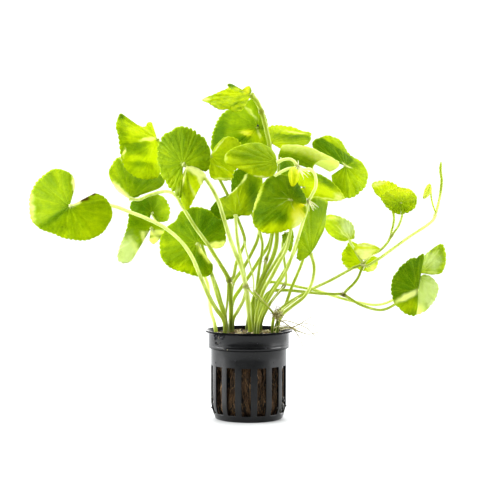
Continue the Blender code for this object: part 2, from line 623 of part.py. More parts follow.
def make_stem(name, stem, mat):
    points = stem_points(stem)
    last = len(points) - 1
    length = sum((b - a).length for a, b in zip(points, points[1:])) / MM
    spots = evenly(max(5, round(length / STEM_SPACING) + 1), last)
    if stem.node is not None:
        spots = [spot for spot in spots if abs(spot - stem.node) > 0.5]
        spots = sorted(spots + [stem.node - 0.3, stem.node, stem.node + 0.3])
    radii = []
    for spot in spots:
        swell = 1.3 if spot == stem.node else 1
        radii.append((stem.foot + (stem.top - stem.foot) * spot / last) * swell)
    return tube(name, through(points, spots), radii, mat)


def make_bud(name, route, radius, mat):
    """A thin stalk whose last stretch swells into the bud."""
    points = [placed(*spot) for spot in route]
    stalk = [BUD_STALK_R] * len(BUD_SHARES) + [2 * BUD_STALK_R]
    radii = stalk + [radius * share for share in BUD_SHARES]
    spots = evenly(len(radii), len(points) - 1)
    return tube(name, through(points, spots), radii, mat)


def main():
    for old in list(bpy.data.objects):
        bpy.data.objects.remove(old, do_unlink=True)
    make_pot(material("pot", (0.02, 0.02, 0.022), 0.42))
    make_plug(material("growing_plug", (0.09, 0.045, 0.02), 0.95))
    leaf = material("leaf", LEAF_GREEN, 0.45)
    stalk = material("stem", STEM_GREEN, 0.4)
    for name, blade in BLADES.items():
        make_blade(name, blade, leaf)
    make_rolled_leaf(leaf)
    for name, stem in STEMS.items():
        make_stem(name, stem, stalk)
    for name, (route, radius) in BUDS.items():
        make_bud(name, route, radius, leaf)


main()
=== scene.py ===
"""Potted variegated brazilian pennywort: the visual model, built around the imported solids."""

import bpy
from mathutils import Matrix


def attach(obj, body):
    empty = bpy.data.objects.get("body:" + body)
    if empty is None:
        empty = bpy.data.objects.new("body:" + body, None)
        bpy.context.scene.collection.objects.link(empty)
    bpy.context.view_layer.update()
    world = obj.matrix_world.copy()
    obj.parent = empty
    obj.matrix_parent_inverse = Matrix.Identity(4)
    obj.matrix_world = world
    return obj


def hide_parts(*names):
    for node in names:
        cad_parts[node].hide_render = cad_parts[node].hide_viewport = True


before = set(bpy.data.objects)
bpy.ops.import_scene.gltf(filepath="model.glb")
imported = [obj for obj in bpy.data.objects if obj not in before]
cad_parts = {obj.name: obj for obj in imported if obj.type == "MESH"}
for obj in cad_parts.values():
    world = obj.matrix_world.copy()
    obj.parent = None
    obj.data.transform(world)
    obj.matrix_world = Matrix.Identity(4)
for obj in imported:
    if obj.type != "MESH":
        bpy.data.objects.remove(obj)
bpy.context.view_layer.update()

import logging
import math
from dataclasses import dataclass, field
from enum import Enum
from functools import partial

import bpy
import numpy as np
from mathutils import Vector

Array = np.ndarray
Triple = tuple[float, float, float]
Faces = list[tuple[int, ...]]
Numbers = dict[str, np.ndarray | float]
Material = bpy.types.Material
Socket = bpy.types.NodeSocket

MM = 0.001
TINY = 1e-12
FULL_TURN = 2 * math.pi
FINE_STEPS = 40
CRISP_EDGE = 0.12
MARK_FADE = 1.15

logging.basicConfig(level=logging.INFO, format="%(name)s: %(message)s")
log = logging.getLogger("pennywort")


@dataclass(frozen=True)
class Sight:
    """The eye in front of the plant. A point's depth moves it along its line of sight.

    So the plant can be drawn as a front elevation, x and z in millimetres on the plane y = 0.
    """

    distance: float = 938.0
    height: float = 147.0
    aside: float = 0.73
    tilt: float = 2.72
    lens: float = 111.36
    sensor: float = 36.0

    def place(self, x: Array, z: Array, y: Array) -> Array:
        """Turn places on the elevation into points.

        Args:
            x: Millimetres to the right.
            z: Millimetres up.
            y: Millimetres away from the eye.

        Returns:
            The points in metres, one a row.
        """
        spread = (self.distance + np.asarray(y, float)) / self.distance
        across = np.asarray(x, float) * spread
        up = self.height + (np.asarray(z, float) - self.height) * spread
        return np.stack(np.broadcast_arrays(across, y, up), axis=-1) * MM


SIGHT = Sight()


def unit(rows: Array) -> Array:
    """Scale each row to a length of 1."""
    return rows / (np.linalg.norm(rows, axis=-1, keepdims=True) + TINY)


def round_pot(r: Array | float, turn: Array | float, z: Array | float) -> Array:
    """Give points by radius, turn from the front in radians, and height."""
    return np.stack(np.broadcast_arrays(r * np.sin(turn), -r * np.cos(turn), z), axis=-1)


def smooth_path(points: Array, spots: Array) -> Array:
    """Read a smooth curve through points.

    Args:
        points: The points that it passes through, one a row.
        spots: Where to read it, counted in points from 0.

    Returns:
        The points at the spots, one a row.
    """
    points = np.asarray(points, float)
    last = len(points) - 1
    padded = np.vstack([2 * points[0] - points[1], points, 2 * points[-1] - points[-2]])
    i = np.clip(np.floor(spots).astype(int), 0, last - 1)
    t = (np.asarray(spots) - i)[:, None]
    p0, p1, p2, p3 = padded[i], padded[i + 1], padded[i + 2], padded[i + 3]
    bend = (2 * p0 - 5 * p1 + 4 * p2 - p3) * t**2 + (3 * p1 - p0 - 3 * p2 + p3) * t**3
    return p1 + ((p2 - p0) * t + bend) / 2


def even_path(points: Array, count: int) -> tuple[Array, Array]:
    """Share out a smooth curve's length.

    Args:
        points: The points that the curve passes through, one a row.
        count: How many points to share it out by.

    Returns:
        The new points, and the spot of each, counted in points from 0.
    """
    last = len(points) - 1
    fine = np.linspace(0, last, FINE_STEPS * last + 1)
    lengths = np.linalg.norm(np.diff(smooth_path(points, fine), axis=0), axis=1)
    run = np.concatenate([[0], np.cumsum(lengths)])
    spots = np.interp(np.linspace(0, run[-1], count), run, fine)
    return smooth_path(points, spots), spots


def ripple(x: Array, z: Array | float, wavelength: float, seed: int) -> Array:
    """Make a smooth random height out of seven waves, the same on every run.

    Args:
        x: Places across.
        z: Places up.
        wavelength: The typical size of a bump, in the places' unit.
        seed: Picks the pattern.

    Returns:
        Values between about -1 and 1.
    """
    dice = np.random.default_rng(seed)
    total = np.zeros(np.broadcast(x, z).shape)
    for _ in range(7):
        turn, phase = dice.uniform(0, FULL_TURN, 2)
        size = FULL_TURN / (wavelength * dice.uniform(0.7, 1.5))
        total += np.sin(size * (math.cos(turn) * x + math.sin(turn) * z) + phase)
    return total / 3.2


def soft_step(low: float, high: float, value: Array) -> Array:
    """Rise smoothly from 0 at low to 1 at high."""
    t = np.clip((value - low) / (high - low), 0, 1)
    return t * t * (3 - 2 * t)


def tube(path: Array, radius: Array, guide: Triple, flat: float = 1.0) -> Array:
    """Lay rings of points round a path.

    Args:
        path: The path's points in metres, one a row.
        radius: Each ring's radius in millimetres at each of its points, one ring a row.
        guide: A direction that the path never takes, which the rings are turned by.
        flat: A ring's depth as a share of its width.

    Returns:
        The points, ring after ring.
    """
    tangent = unit(np.gradient(path, axis=0))
    side = unit(np.cross(tangent, guide))
    other = np.cross(side, tangent) * flat
    turn = ring_turns(radius.shape[1])[:, None]
    ring = side[:, None] * np.cos(turn) + other[:, None] * np.sin(turn)
    return (path[:, None] + ring * radius[..., None] * MM).reshape(-1, 3)


def ring_turns(sides: int) -> Array:
    """Share out a full turn among the points of a ring, in radians."""
    return np.linspace(0, FULL_TURN, sides, endpoint=False)


def ring_faces(rings: int, sides: int, start: int = 0) -> Faces:
    """List the faces between rings of points that are numbered from start."""
    return [
        (a + c, a + (c + 1) % sides, a + sides + (c + 1) % sides, a + sides + c)
        for a in range(start, start + (rings - 1) * sides, sides)
        for c in range(sides)
    ]


def flat_ends(rings: int, sides: int, start: int = 0) -> Faces:
    """List the two flat faces that close a stack of rings."""
    last = start + (rings - 1) * sides
    return [tuple(reversed(range(start, start + sides))), tuple(range(last, last + sides))]


def pointed_ends(rings: int, sides: int) -> Faces:
    """List the faces that close a stack of rings with two points, which are numbered after the rings."""
    low, last = rings * sides, (rings - 1) * sides
    turns = [(c, (c + 1) % sides) for c in range(sides)]
    return [(low, d, c) for c, d in turns] + [(low + 1, last + c, last + d) for c, d in turns]


def add_mesh(
    name: str, points: Array, faces: Faces, material: Material, values: Numbers | None = None
) -> bpy.types.Object:
    """Make a smooth-shaded mesh piece.

    Args:
        name: The piece's name.
        points: Its points in metres, one a row.
        faces: Its faces, as tuples of point numbers.
        material: Its material.
        values: The numbers that the material reads, by name: one for each point, or one for all.

    Returns:
        The new object, in the scene.
    """
    mesh = bpy.data.meshes.new(name)
    mesh.from_pydata(np.asarray(points, float).tolist(), [], faces)
    mesh.materials.append(material)
    mesh.shade_smooth()
    for key, numbers in (values or {}).items():
        layer = mesh.attributes.new(key, "FLOAT", "POINT")
        layer.data.foreach_set("value", np.broadcast_to(np.asarray(numbers, np.float32), len(points)))
    mesh.update()
    piece = bpy.data.objects.new(name, mesh)
    bpy.context.scene.collection.objects.link(piece)
    return piece


def settle(piece: bpy.types.Object, slot: str, *nodes: str) -> None:
    """Fix a finished piece to the plant and report it.

    Args:
        piece: The piece.
        slot: Not used.
        nodes: The solids that it stands for.
    """
    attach(piece, "root")
    if nodes:
        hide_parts(*nodes)
    count = sum(len(face.vertices) - 2 for face in piece.data.polygons)
    log.info("%s: %d triangles", piece.name, count)


def solid_name(piece: str) -> str:
    """Name the solid of a stalk or bud: the piece's name with its last word first."""
    place, _, kind = piece.rpartition("_")
    return f"{kind}_{place}"


class Wiring:
    """A short way to write a node tree."""

    def __init__(self, tree: bpy.types.NodeTree) -> None:
        """Start on a tree."""
        self.tree = tree

    def node(self, kind: str, **settings: object) -> bpy.types.Node:
        """Add a node of a kind, with its settings."""
        made = self.tree.nodes.new("ShaderNode" + kind)
        for key, value in settings.items():
            setattr(made, key, value)
        return made

    def feed(self, socket: Socket, value: object) -> None:
        """Feed a socket from another, or give it a number, a vector or a colour of three numbers."""
        if isinstance(value, Socket):
            self.tree.links.new(value, socket)
        elif isinstance(value, tuple) and len(value) == 3 and socket.type == "RGBA":
            socket.default_value = (*value, 1)
        else:
            socket.default_value = value

    def fill(self, made: bpy.types.Node, *values: object) -> Socket:
        """Feed a node's first inputs in their order, and give its first output."""
        for socket, value in zip(made.inputs, values):
            self.feed(socket, value)
        return made.outputs[0]

    def math(self, operation: str, a: object, b: object = 0.0, c: object = 0.0) -> Socket:
        """Combine numbers."""
        return self.fill(self.node("Math", operation=operation), a, b, c)

    def plus(self, a: object, b: object) -> Socket:
        """Add two numbers."""
        return self.math("ADD", a, b)

    def minus(self, a: object, b: object) -> Socket:
        """Take the second number from the first."""
        return self.math("SUBTRACT", a, b)

    def times(self, a: object, b: object) -> Socket:
        """Multiply two numbers."""
        return self.math("MULTIPLY", a, b)


class Shader(Wiring):
    """A material's node tree, with the textures and surfaces that the finishes share."""

    def __init__(self, name: str) -> None:
        """Start a material with an empty tree."""
        self.material = bpy.data.materials.new(name)
        self.material.use_nodes = True
        super().__init__(self.material.node_tree)
        self.tree.nodes.clear()

    def ramp(
        self, value: object, low: float = 0.0, high: float = 1.0, start: float = 0.0, end: float = 1.0
    ) -> Socket:
        """Map a number smoothly from low..high to start..end."""
        made = self.node("MapRange", interpolation_type="SMOOTHSTEP")
        return self.fill(made, value, low, high, start, end)

    def mix(self, share: object, first: object, second: object) -> Socket:
        """Blend two colours; the node's colour sockets follow those for numbers and vectors."""
        made = self.node("Mix", data_type="RGBA")
        for index, value in ((0, share), (6, first), (7, second)):
            self.feed(made.inputs[index], value)
        return made.outputs[2]

    def value(self, name: str) -> Socket:
        """Read a number that the mesh carries at its points."""
        return self.node("Attribute", attribute_name=name).outputs["Fac"]

    def here(self) -> Socket:
        """Read the place in the plant's own space, in metres."""
        return self.node("TexCoord").outputs["Object"]

    def height(self) -> Socket:
        """Read the height above the floor, in metres."""
        axes = self.node("SeparateXYZ")
        self.feed(axes.inputs[0], self.here())
        return axes.outputs["Z"]

    def noise(
        self, scale: float, detail: float = 3.0, upright: float = 1.0, place: Socket | None = None
    ) -> Socket:
        """Read cloudy noise.

        Args:
            scale: How many bumps there are to the metre.
            detail: How many finer layers it has.
            upright: How the place is scaled upward; under 1 the bumps are drawn out upright.
            place: The place to read it at, if it isn't the plant's own space.

        Returns:
            The noise, from 0 to 1.
        """
        place = place or self.here()
        if upright != 1.0:
            mapping = self.node("Mapping")
            self.feed(mapping.inputs["Scale"], (1, 1, upright))
            place = self.fill(mapping, place)
        made = self.node("TexNoise")
        self.feed(made.inputs["Vector"], place)
        self.feed(made.inputs["Scale"], scale)
        self.feed(made.inputs["Detail"], detail)
        return made.outputs[0]

    def swing(self, noise: Socket) -> Socket:
        """Move a noise's middle to 0."""
        return self.minus(noise, 0.5)

    def cells(self, scale: float) -> Socket:
        """Read the distance to the edge of small cells."""
        made = self.node("TexVoronoi", feature="DISTANCE_TO_EDGE")
        self.feed(made.inputs["Scale"], scale)
        return self.fill(made, self.here())

    def bump(self, height: object, strength: float, distance: float) -> Socket:
        """Turn a height into a bumped normal; distance is in metres."""
        made = self.node("Bump")
        for key, value in (("Strength", strength), ("Distance", distance), ("Height", height)):
            self.feed(made.inputs[key], value)
        return made.outputs[0]

    def principled(self, **inputs: object) -> Socket:
        """Add the main surface; each input is named with underscores for spaces."""
        made = self.node("BsdfPrincipled")
        for key, value in inputs.items():
            self.feed(made.inputs[key.replace("_", " ")], value)
        return made.outputs[0]

    def finish(self, surface: Socket) -> Material:
        """Send a surface to the output and hand the material over."""
        self.feed(self.node("OutputMaterial").inputs["Surface"], surface)
        return self.material

    def lit_through(self, share: float, skin: Socket, *glow: object) -> Material:
        """Finish a surface with a share of glow: the colour that light takes in it, and a normal if any."""
        through = self.fill(self.node("BsdfTranslucent"), *glow)
        return self.finish(self.fill(self.node("MixShader"), share, skin, through))


@dataclass(frozen=True)
class LeafFinish:
    """A thin waxy leaf that lets light through, with forking veins, painted variegation and painted light
    and shade.

    It reads these numbers from the mesh: around (veins counted from one lip of the sinus), out (0 at the
    hub, 1 at the margin), reach (millimetres between veins), relief (how strongly the veins show), tone
    (lighter above 0, darker below, carrying painted light and shade too), seed (its own place in the
    streaks), under (1 on the underside), and cream, pale, yellow and brown (how much of each is painted
    there).
    """

    green: Triple = (0.275, 0.40, 0.001)
    bright: Triple = (0.66, 0.75, 0.003)
    deep: Triple = (0.05, 0.165, 0.0005)
    cream: Triple = (0.89, 0.92, 0.44)
    pale: Triple = (0.66, 0.75, 0.44)
    yellow: Triple = (0.82, 0.80, 0.015)
    rust: Triple = (0.10, 0.045, 0.015)
    vein: Triple = (0.58, 0.72, 0.015)
    underside: Triple = (0.36, 0.50, 0.02)
    shade: Triple = (0.08, 0.15, 0.006)
    see_through: float = 0.54

    def build(self) -> Material:
        """Build the material."""
        s = Shader("leaf_tissue")
        out, around = s.value("out"), s.value("around")
        relief, under = s.value("relief"), s.value("under")
        aside = s.math("ABSOLUTE", s.minus(s.math("FRACT", around), 0.5))
        midrib = self.line(s, aside, 0.0, s.ramp(out, 0.0, 1.0, 0.36, 0.12))
        fork = self.line(s, aside, s.ramp(out, 0.30, 1.05, 0.02, 0.30), s.ramp(out, 0.3, 1.0, 0.20, 0.10))
        twig = self.line(s, aside, s.ramp(out, 0.55, 1.05, 0.16, 0.46), 0.10)
        fork = s.times(fork, s.ramp(out, 0.28, 0.45))
        twig = s.times(twig, s.ramp(out, 0.5, 0.7, 0.0, 0.7))
        veins = s.math("MAXIMUM", midrib, s.math("MAXIMUM", fork, twig))

        fan = s.fill(s.node("CombineXYZ"), s.times(around, 5.0), s.times(out, 2.2), s.value("seed"))
        streaks = s.times(s.swing(s.noise(1.0, 5, place=fan)), relief)
        patches, specks = s.times(s.swing(s.noise(130)), 0.42), s.times(s.swing(s.noise(520, 4)), 0.75)
        quilt = s.times(s.ramp(aside, 0.0, 0.5, 0.10, -0.10), s.ramp(out, 0.1, 0.7, 0.2, 1.0))
        tone = s.plus(s.value("tone"), s.plus(s.plus(s.plus(patches, specks), streaks), quilt))
        # Tone mixes the colour towards bright and deep; through the light and dark marks this paints light
        # and shade as well as the leaf's own paler and deeper tissue.
        colour = s.mix(s.ramp(tone, -0.25, 1.25), self.green, self.bright)
        colour = s.mix(s.ramp(s.times(tone, -1.0), -0.25, 1.25), colour, self.deep)
        colour = s.mix(s.ramp(s.cells(1100), 0.0, 0.18, 0.22, 0.0), colour, self.vein)
        fade = s.times(s.ramp(s.noise(150, 2), 0.38, 0.62, 0.12, 0.5), relief)
        colour = s.mix(s.times(veins, fade), colour, self.vein)
        colour = s.mix(s.ramp(out, 0.955, 1.0, 0.0, 0.55), colour, self.vein)
        colour = s.mix(s.times(under, 0.35), colour, self.underside)
        ragged = s.times(s.swing(s.noise(360, 4)), 0.45)
        paints = {"yellow": self.yellow, "cream": self.cream, "pale": self.pale, "brown": self.rust}
        for key, paint in paints.items():
            amount = s.value(key)
            edge = s.times(ragged, s.ramp(amount, 0.02, 0.3))
            colour = s.mix(s.ramp(s.plus(amount, edge), 0.05, 0.85), colour, paint)

        height = s.minus(s.times(s.noise(900), 0.5), s.times(veins, 0.6))
        normal = s.bump(s.plus(height, s.times(s.noise(300), 1.6)), 0.5, 0.0004)
        skin = s.principled(
            Base_Color=s.mix(s.times(under, 0.55), colour, self.shade),
            Roughness=s.ramp(s.noise(700, 2), 0.3, 0.7, 0.38, 0.54),
            Specular_IOR_Level=0.08,
            Normal=normal,
        )
        return s.lit_through(self.see_through, skin, s.mix(0.3, colour, self.bright), normal)

    @staticmethod
    def line(s: Shader, aside: Socket, spread: object, width: object) -> Socket:
        """Draw a vein as 1 on its line and 0 away from it.

        Args:
            s: The material being written.
            aside: The distance from the nearest midrib, as a share of the way to the next.
            spread: The share at which the vein lies.
            width: The vein's half width in millimetres.

        Returns:
            How much of a vein is here.
        """
        off = s.times(s.math("ABSOLUTE", s.minus(aside, spread)), s.value("reach"))
        return s.minus(1.0, s.math("SMOOTH_MIN", s.math("DIVIDE", off, width), 1.0, 0.3))


@dataclass(frozen=True)
class StalkFinish:
    """A fleshy pale green stalk, brown at its joints, that darkens to olive at its foot: partly its own
    colour, partly painted shade near the pot's mouth.
    """

    pale: Triple = (0.84, 0.90, 0.42)
    green: Triple = (0.45, 0.54, 0.06)
    olive: Triple = (0.17, 0.22, 0.03)
    joint: Triple = (0.10, 0.06, 0.015)
    see_through: float = 0.45

    def build(self) -> Material:
        """Build the material."""
        s = Shader("stalk_tissue")
        joint = s.value("joint")
        streak = s.times(s.swing(s.noise(700, upright=0.12)), 0.7)
        tone = s.plus(s.value("tone"), streak)
        colour = s.mix(s.ramp(tone), self.green, self.pale)
        # Low tones mix towards olive: the stalk's own olive and the painted shade at its foot.
        colour = s.mix(s.ramp(s.times(tone, -1.0)), colour, self.olive)
        colour = s.mix(joint, colour, self.joint)
        height = s.plus(s.noise(1500, upright=0.15), s.times(joint, 0.5))
        skin = s.principled(
            Base_Color=colour,
            Roughness=s.ramp(streak, -0.3, 0.3, 0.32, 0.46),
            Specular_IOR_Level=0.45,
            Normal=s.bump(height, 0.25, 0.0002),
        )
        return s.lit_through(self.see_through, skin, colour)


@dataclass(frozen=True)
class FibreFinish:
    """Dry or pale strands whose shade the mesh carries as tone, from 0 dark to 1 light."""

    name: str
    dark: Triple
    light: Triple
    roughness: float = 0.8

    def build(self) -> Material:
        """Build the material."""
        s = Shader(self.name)
        shade = s.plus(s.value("tone"), s.times(s.swing(s.noise(900)), 0.5))
        colour = s.mix(s.ramp(shade), self.dark, self.light)
        normal = s.bump(s.noise(2500, 2), 0.4, 0.0001)
        return s.finish(s.principled(Base_Color=colour, Roughness=self.roughness, Normal=normal))


@dataclass(frozen=True)
class PlugFinish:
    """Moist crumbly growing medium, brown with golden fibres, painted shade in the hollows of its crumbs and
    a paler crust on top.

    The crust begins between two heights, in metres.
    """

    dark: Triple = (0.006, 0.0035, 0.002)
    brown: Triple = (0.095, 0.054, 0.026)
    gold: Triple = (0.34, 0.21, 0.09)
    top: Triple = (0.42, 0.34, 0.13)
    crust: tuple[float, float] = (0.0495, 0.0505)
    roughness: float = 0.88

    def build(self) -> Material:
        """Build the material."""
        s = Shader("growing_medium")
        crumbs, grain = s.noise(330, 6, 0.45), s.noise(1400, 4, 0.2)
        # The crumbs noise also bumps the surface, so its low places are painted near black: painted shade in
        # the hollows, with the brown on the crests.
        colour = s.mix(s.ramp(crumbs, 0.42, 0.62), self.dark, self.brown)
        colour = s.mix(s.ramp(grain, 0.56, 0.75, 0.0, 0.6), colour, self.gold)
        crust = s.times(s.ramp(s.height(), *self.crust), s.ramp(s.noise(220), 0.35, 0.5))
        colour = s.mix(crust, colour, self.top)
        normal = s.bump(s.plus(crumbs, s.times(grain, 0.5)), 0.9, 0.0008)
        return s.finish(s.principled(Base_Color=colour, Roughness=self.roughness, Normal=normal))


@dataclass(frozen=True)
class PotFinish:
    """Dark charcoal moulded plastic with a soft sheen, faint drag marks and a film of dust.

    The wall is duller below the band, between two heights in metres. The gloss is off where inside is 1.
    """

    charcoal: Triple = (0.005, 0.0053, 0.0058)
    worn: Triple = (0.0095, 0.0098, 0.0102)
    dust: Triple = (0.035, 0.033, 0.03)
    band: tuple[float, float] = (0.044, 0.042)
    gloss: tuple[float, float] = (0.42, 0.02)

    def build(self) -> Material:
        """Build the material."""
        s = Shader("pot_plastic")
        cloud, drag = s.noise(90, 4), s.noise(500, 3, 0.06)
        colour = s.mix(s.ramp(cloud, 0.4, 0.7), self.charcoal, self.worn)
        colour = s.mix(s.ramp(s.noise(1100, 5), 0.62, 0.8, 0.0, 0.5), colour, self.dust)
        height = s.plus(s.times(drag, 0.6), s.times(s.noise(4000, 2), 0.4))
        duller = s.ramp(s.height(), *self.band, 0.0, 0.05)
        skin = s.principled(
            Base_Color=colour,
            Roughness=s.plus(s.ramp(cloud, 0.3, 0.7, 0.10, 0.22), duller),
            Specular_IOR_Level=s.ramp(s.value("inside"), 0.0, 0.6, *self.gloss),
            Normal=s.bump(height, 0.05, 0.0002),
        )
        return s.finish(skin)


class Tint(Enum):
    """What a painted mark does to a leaf: the number that it changes, and which way. Lighter and darker
    marks carry both the leaf's own tone and painted light and shade.
    """

    LIGHTER_AND_PAINTED_LIGHT = ("tone", 1.0)
    DARK = ("tone", -1.0)
    CREAM = ("cream", 1.0)
    PALE = ("pale", 1.0)
    YELLOW = ("yellow", 1.0)
    BROWN = ("brown", 1.0)


@dataclass(frozen=True)
class Mark:
    """A soft oval of tint: its middle from the blade's hub, half sizes and turn in degrees.

    A mark with a crisp side starts sharply on the line through its middle and fades away below it; the dark
    ones of this kind are painted shadows under folds and under other leaves.
    """

    tint: Tint
    x: float
    z: float
    along: float
    across: float
    turn: float = 0.0
    strength: float = 1.0
    crisp: bool = False

    def amount(self, x: Array, z: Array) -> Array:
        """Say how much of the mark each place has."""
        angle = math.radians(self.turn)
        dx, dz = x - self.x, z - self.z
        a = (dx * math.cos(angle) + dz * math.sin(angle)) / self.along
        b = (dz * math.cos(angle) - dx * math.sin(angle)) / self.across
        sharp = soft_step(CRISP_EDGE, -CRISP_EDGE, b) if self.crisp else 1.0
        return self.strength * sharp * np.exp(-((a * a + b * b) ** MARK_FADE))


@dataclass(frozen=True)
class Fold:
    """A crease through a place counted from the blade's hub: the blade falls back from it on each side.

    It runs at a turn in degrees up from the x axis. Left and right are the millimetres that the blade falls
    back for each one away from it.
    """

    x: float
    z: float
    turn: float
    left: float
    right: float
    soft: float = 1.5

    def depth(self, x: Array, z: Array) -> Array:
        """Give how far each place falls back, in millimetres."""
        angle = math.radians(self.turn)
        off = (z - self.z) * math.cos(angle) - (x - self.x) * math.sin(angle)
        away = np.sqrt(off * off + self.soft**2) - self.soft
        return away * np.where(off > 0, self.left, self.right)


@dataclass
class Blade:
    """One leaf blade, drawn on the front elevation and given depth.

    Its hub is where the veins meet: x, z and y. The margin, the folds and the marks are placed from there.
    Lean is the depth gained for each millimetre across and up. The margin, from one lip of the sinus round
    to the other, lies further back by bowl. It dips by scallop between veins, and by nick between teeth as
    wide as tooth, and it waves by ruffle. Relief is how strongly the veins show. Its place names the piece
    and the solid. Lengths are in millimetres.
    """

    place: str
    hub: Triple
    lean: tuple[float, float]
    bowl: float
    margin: tuple[tuple[float, float], ...]
    piece: str = ""
    veins: int = 9
    scallop: float = 0.5
    nick: float = 0.85
    tooth: float = 2.9
    ruffle: float = 0.5
    crinkle: float = 0.22
    waves: float = 3.0
    tone: float = 0.0
    relief: float = 1.0
    folds: tuple[Fold, ...] = ()
    marks: tuple[Mark, ...] = ()
    thick: float = 0.34
    rings: int = 20
    columns: int = 208

    @property
    def name(self) -> str:
        """Name the piece."""
        return self.piece or f"{self.place}_blade"

    @property
    def seed(self) -> int:
        """Give the blade a number of its own for its random bumps."""
        return sum(ord(letter) * (place + 3) for place, letter in enumerate(self.name))

    def outline(self, lip: float = 0.012) -> tuple[Array, Array]:
        """Read the margin, with its scallops, nicks and rounded lips.

        Args:
            lip: How far each lip's swelling reaches, as a share of the way round.

        Returns:
            Each column's share of the way round, and its place counted from the hub.
        """
        share = np.linspace(0, 1, self.columns)
        edge = even_path(np.array(self.margin, float), self.columns)[0]
        reach = np.linalg.norm(edge, axis=1)
        dip = 1 - np.abs(np.sin(math.pi * self.veins * share)) ** 0.55
        dip = self.scallop * dip * (1 + 0.5 * ripple(share * 40, 0, 9, self.seed))
        teeth = np.linalg.norm(np.diff(edge, axis=0), axis=1).sum() / self.tooth
        phase = teeth * share + 0.3 * ripple(share * 30, 0, 7, self.seed + 9)
        nick = 1 - np.abs(np.sin(math.pi * phase)) ** 0.7
        nick = nick * self.nick * (0.65 + 0.45 * ripple(share * 50, 0, 11, self.seed + 10))
        lips = 0.06 * reach * (np.exp(-share / lip) + np.exp(-(1 - share) / lip))
        inland = soft_step(0.0, 0.04, share) * soft_step(0.0, 0.04, 1 - share)
        shorter = (dip + nick) * inland + lips
        return share, edge * (1 - shorter / np.maximum(reach, 1))[:, None]

    def depth(self, x: Array, z: Array, share: Array, out: Array) -> Array:
        """Give each place on the blade its depth.

        Args:
            x: Places across on the elevation.
            z: Heights on the elevation.
            share: Shares of the way round from lip to lip.
            out: Shares of the way from the hub to the margin.

        Returns:
            Depths in millimetres.
        """
        x0, z0, y0 = self.hub
        phase = np.random.default_rng(self.seed).uniform(0, 6)
        y = y0 + self.lean[0] * (x - x0) + self.lean[1] * (z - z0) + self.bowl * out**2
        y = y + self.ruffle * out**2 * np.sin(FULL_TURN * self.waves * share + phase)
        y = y + 0.55 * self.ruffle * ripple(x, z, 9, self.seed + 1) * out
        y = y + self.crinkle * ripple(x, z, 3.5, self.seed + 6) * out
        y = y - 0.26 * out * np.cos(FULL_TURN * self.veins * share)
        for fold in self.folds:
            y = y + fold.depth(x - x0, z - z0)
        return y

    def sheet(self) -> tuple[Array, Array, Array, Array, Array]:
        """Lay out the blade's middle surface: the hub first, then its rings, closer towards the margin.

        Returns:
            Points in metres, and each point's place across, height, share round and share out.
        """
        share, edge = self.outline()
        out = np.linspace(0, 1, self.rings + 1)[1:] ** 0.92
        x0, z0, _ = self.hub
        x = x0 + np.outer(out, edge[:, 0])
        z = z0 + np.outer(out, edge[:, 1])
        shares = np.broadcast_to(share, x.shape)
        outs = np.broadcast_to(out[:, None], x.shape)
        grids = ((x0, x), (z0, z), (0.5, shares), (0, outs))
        flat = [np.concatenate([[first], grid.ravel()]) for first, grid in grids]
        return SIGHT.place(flat[0], flat[1], self.depth(*flat)), *flat

    def sheet_faces(self) -> Faces:
        """List the faces of the middle surface, facing the eye."""
        n, last = self.columns, 1 + (self.rings - 1) * self.columns
        fan = [(0, a, a + 1) for a in range(1, n)]
        rows = [range(start, start + n - 1) for start in range(1, last, n)]
        return fan + [(a, a + n, a + n + 1, a + 1) for row in rows for a in row]

    def paint(self, x: Array, z: Array, share: Array, out: Array) -> Numbers:
        """Work out the numbers that the leaf's material reads.

        Args:
            x: Places across.
            z: Heights.
            share: Shares of the way round.
            out: Shares of the way out.

        Returns:
            The numbers at each point, by name.
        """
        values = {key: np.zeros(len(x)) for key in ("tone", "cream", "yellow", "pale", "brown")}
        values["tone"] += self.tone + 0.12 * ripple(x, z, 14, self.seed + 2)
        values["tone"] += (self.crinkle - 0.22) * ripple(x, z, 2.6, self.seed + 7)
        ragged_x = x - self.hub[0] + 0.35 * ripple(x, z, 5, self.seed + 3)
        ragged_z = z - self.hub[1] + 0.35 * ripple(x, z, 5, self.seed + 4)
        for mark in self.marks:
            key, sign = mark.tint.value
            values[key] += sign * mark.amount(ragged_x, ragged_z)
        step = np.linalg.norm(np.diff(self.outline()[1], axis=0), axis=1)
        middles = (np.arange(len(step)) + 0.5) / len(step)
        between = np.interp(share, middles, step) * len(step) / self.veins
        values["around"] = share * self.veins
        values["out"] = out
        values["reach"] = between * out
        values["seed"] = np.full(len(x), self.seed * 0.37 % 90)
        values["relief"] = np.full(len(x), self.relief)
        return values

    def build(self, material: Material) -> None:
        """Build the blade as a thin closed solid and fix it to the plant."""
        points, x, z, share, out = self.sheet()
        faces = self.sheet_faces()
        corners = np.array([face[:3] for face in faces])
        a, b, c = (points[corners[:, k]] for k in range(3))
        across = np.cross(b - a, c - a)
        normal = np.zeros_like(points)
        for k in range(3):
            np.add.at(normal, corners[:, k], across)
        normal = unit(normal)
        if normal[:, 1].mean() > 0:
            normal = -normal
            faces = [face[::-1] for face in faces]
        half = (self.thick * MM / 2) * (1 - 0.5 * out[:, None] ** 4)
        count = len(points)
        solid = np.vstack([points + normal * half, points - normal * half])
        every = faces + [tuple(count + i for i in reversed(face)) for face in faces]
        edges = {(face[i], face[(i + 1) % len(face)]) for face in faces for i in range(len(face))}
        every += [(j, i, count + i, count + j) for i, j in sorted(edges) if (j, i) not in edges]
        values = {key: np.tile(numbers, 2) for key, numbers in self.paint(x, z, share, out).items()}
        values["under"] = np.repeat([0.0, 1.0], count)
        settle(add_mesh(self.name, solid, every, material, values), "leaf", f"leaf_{self.place}")


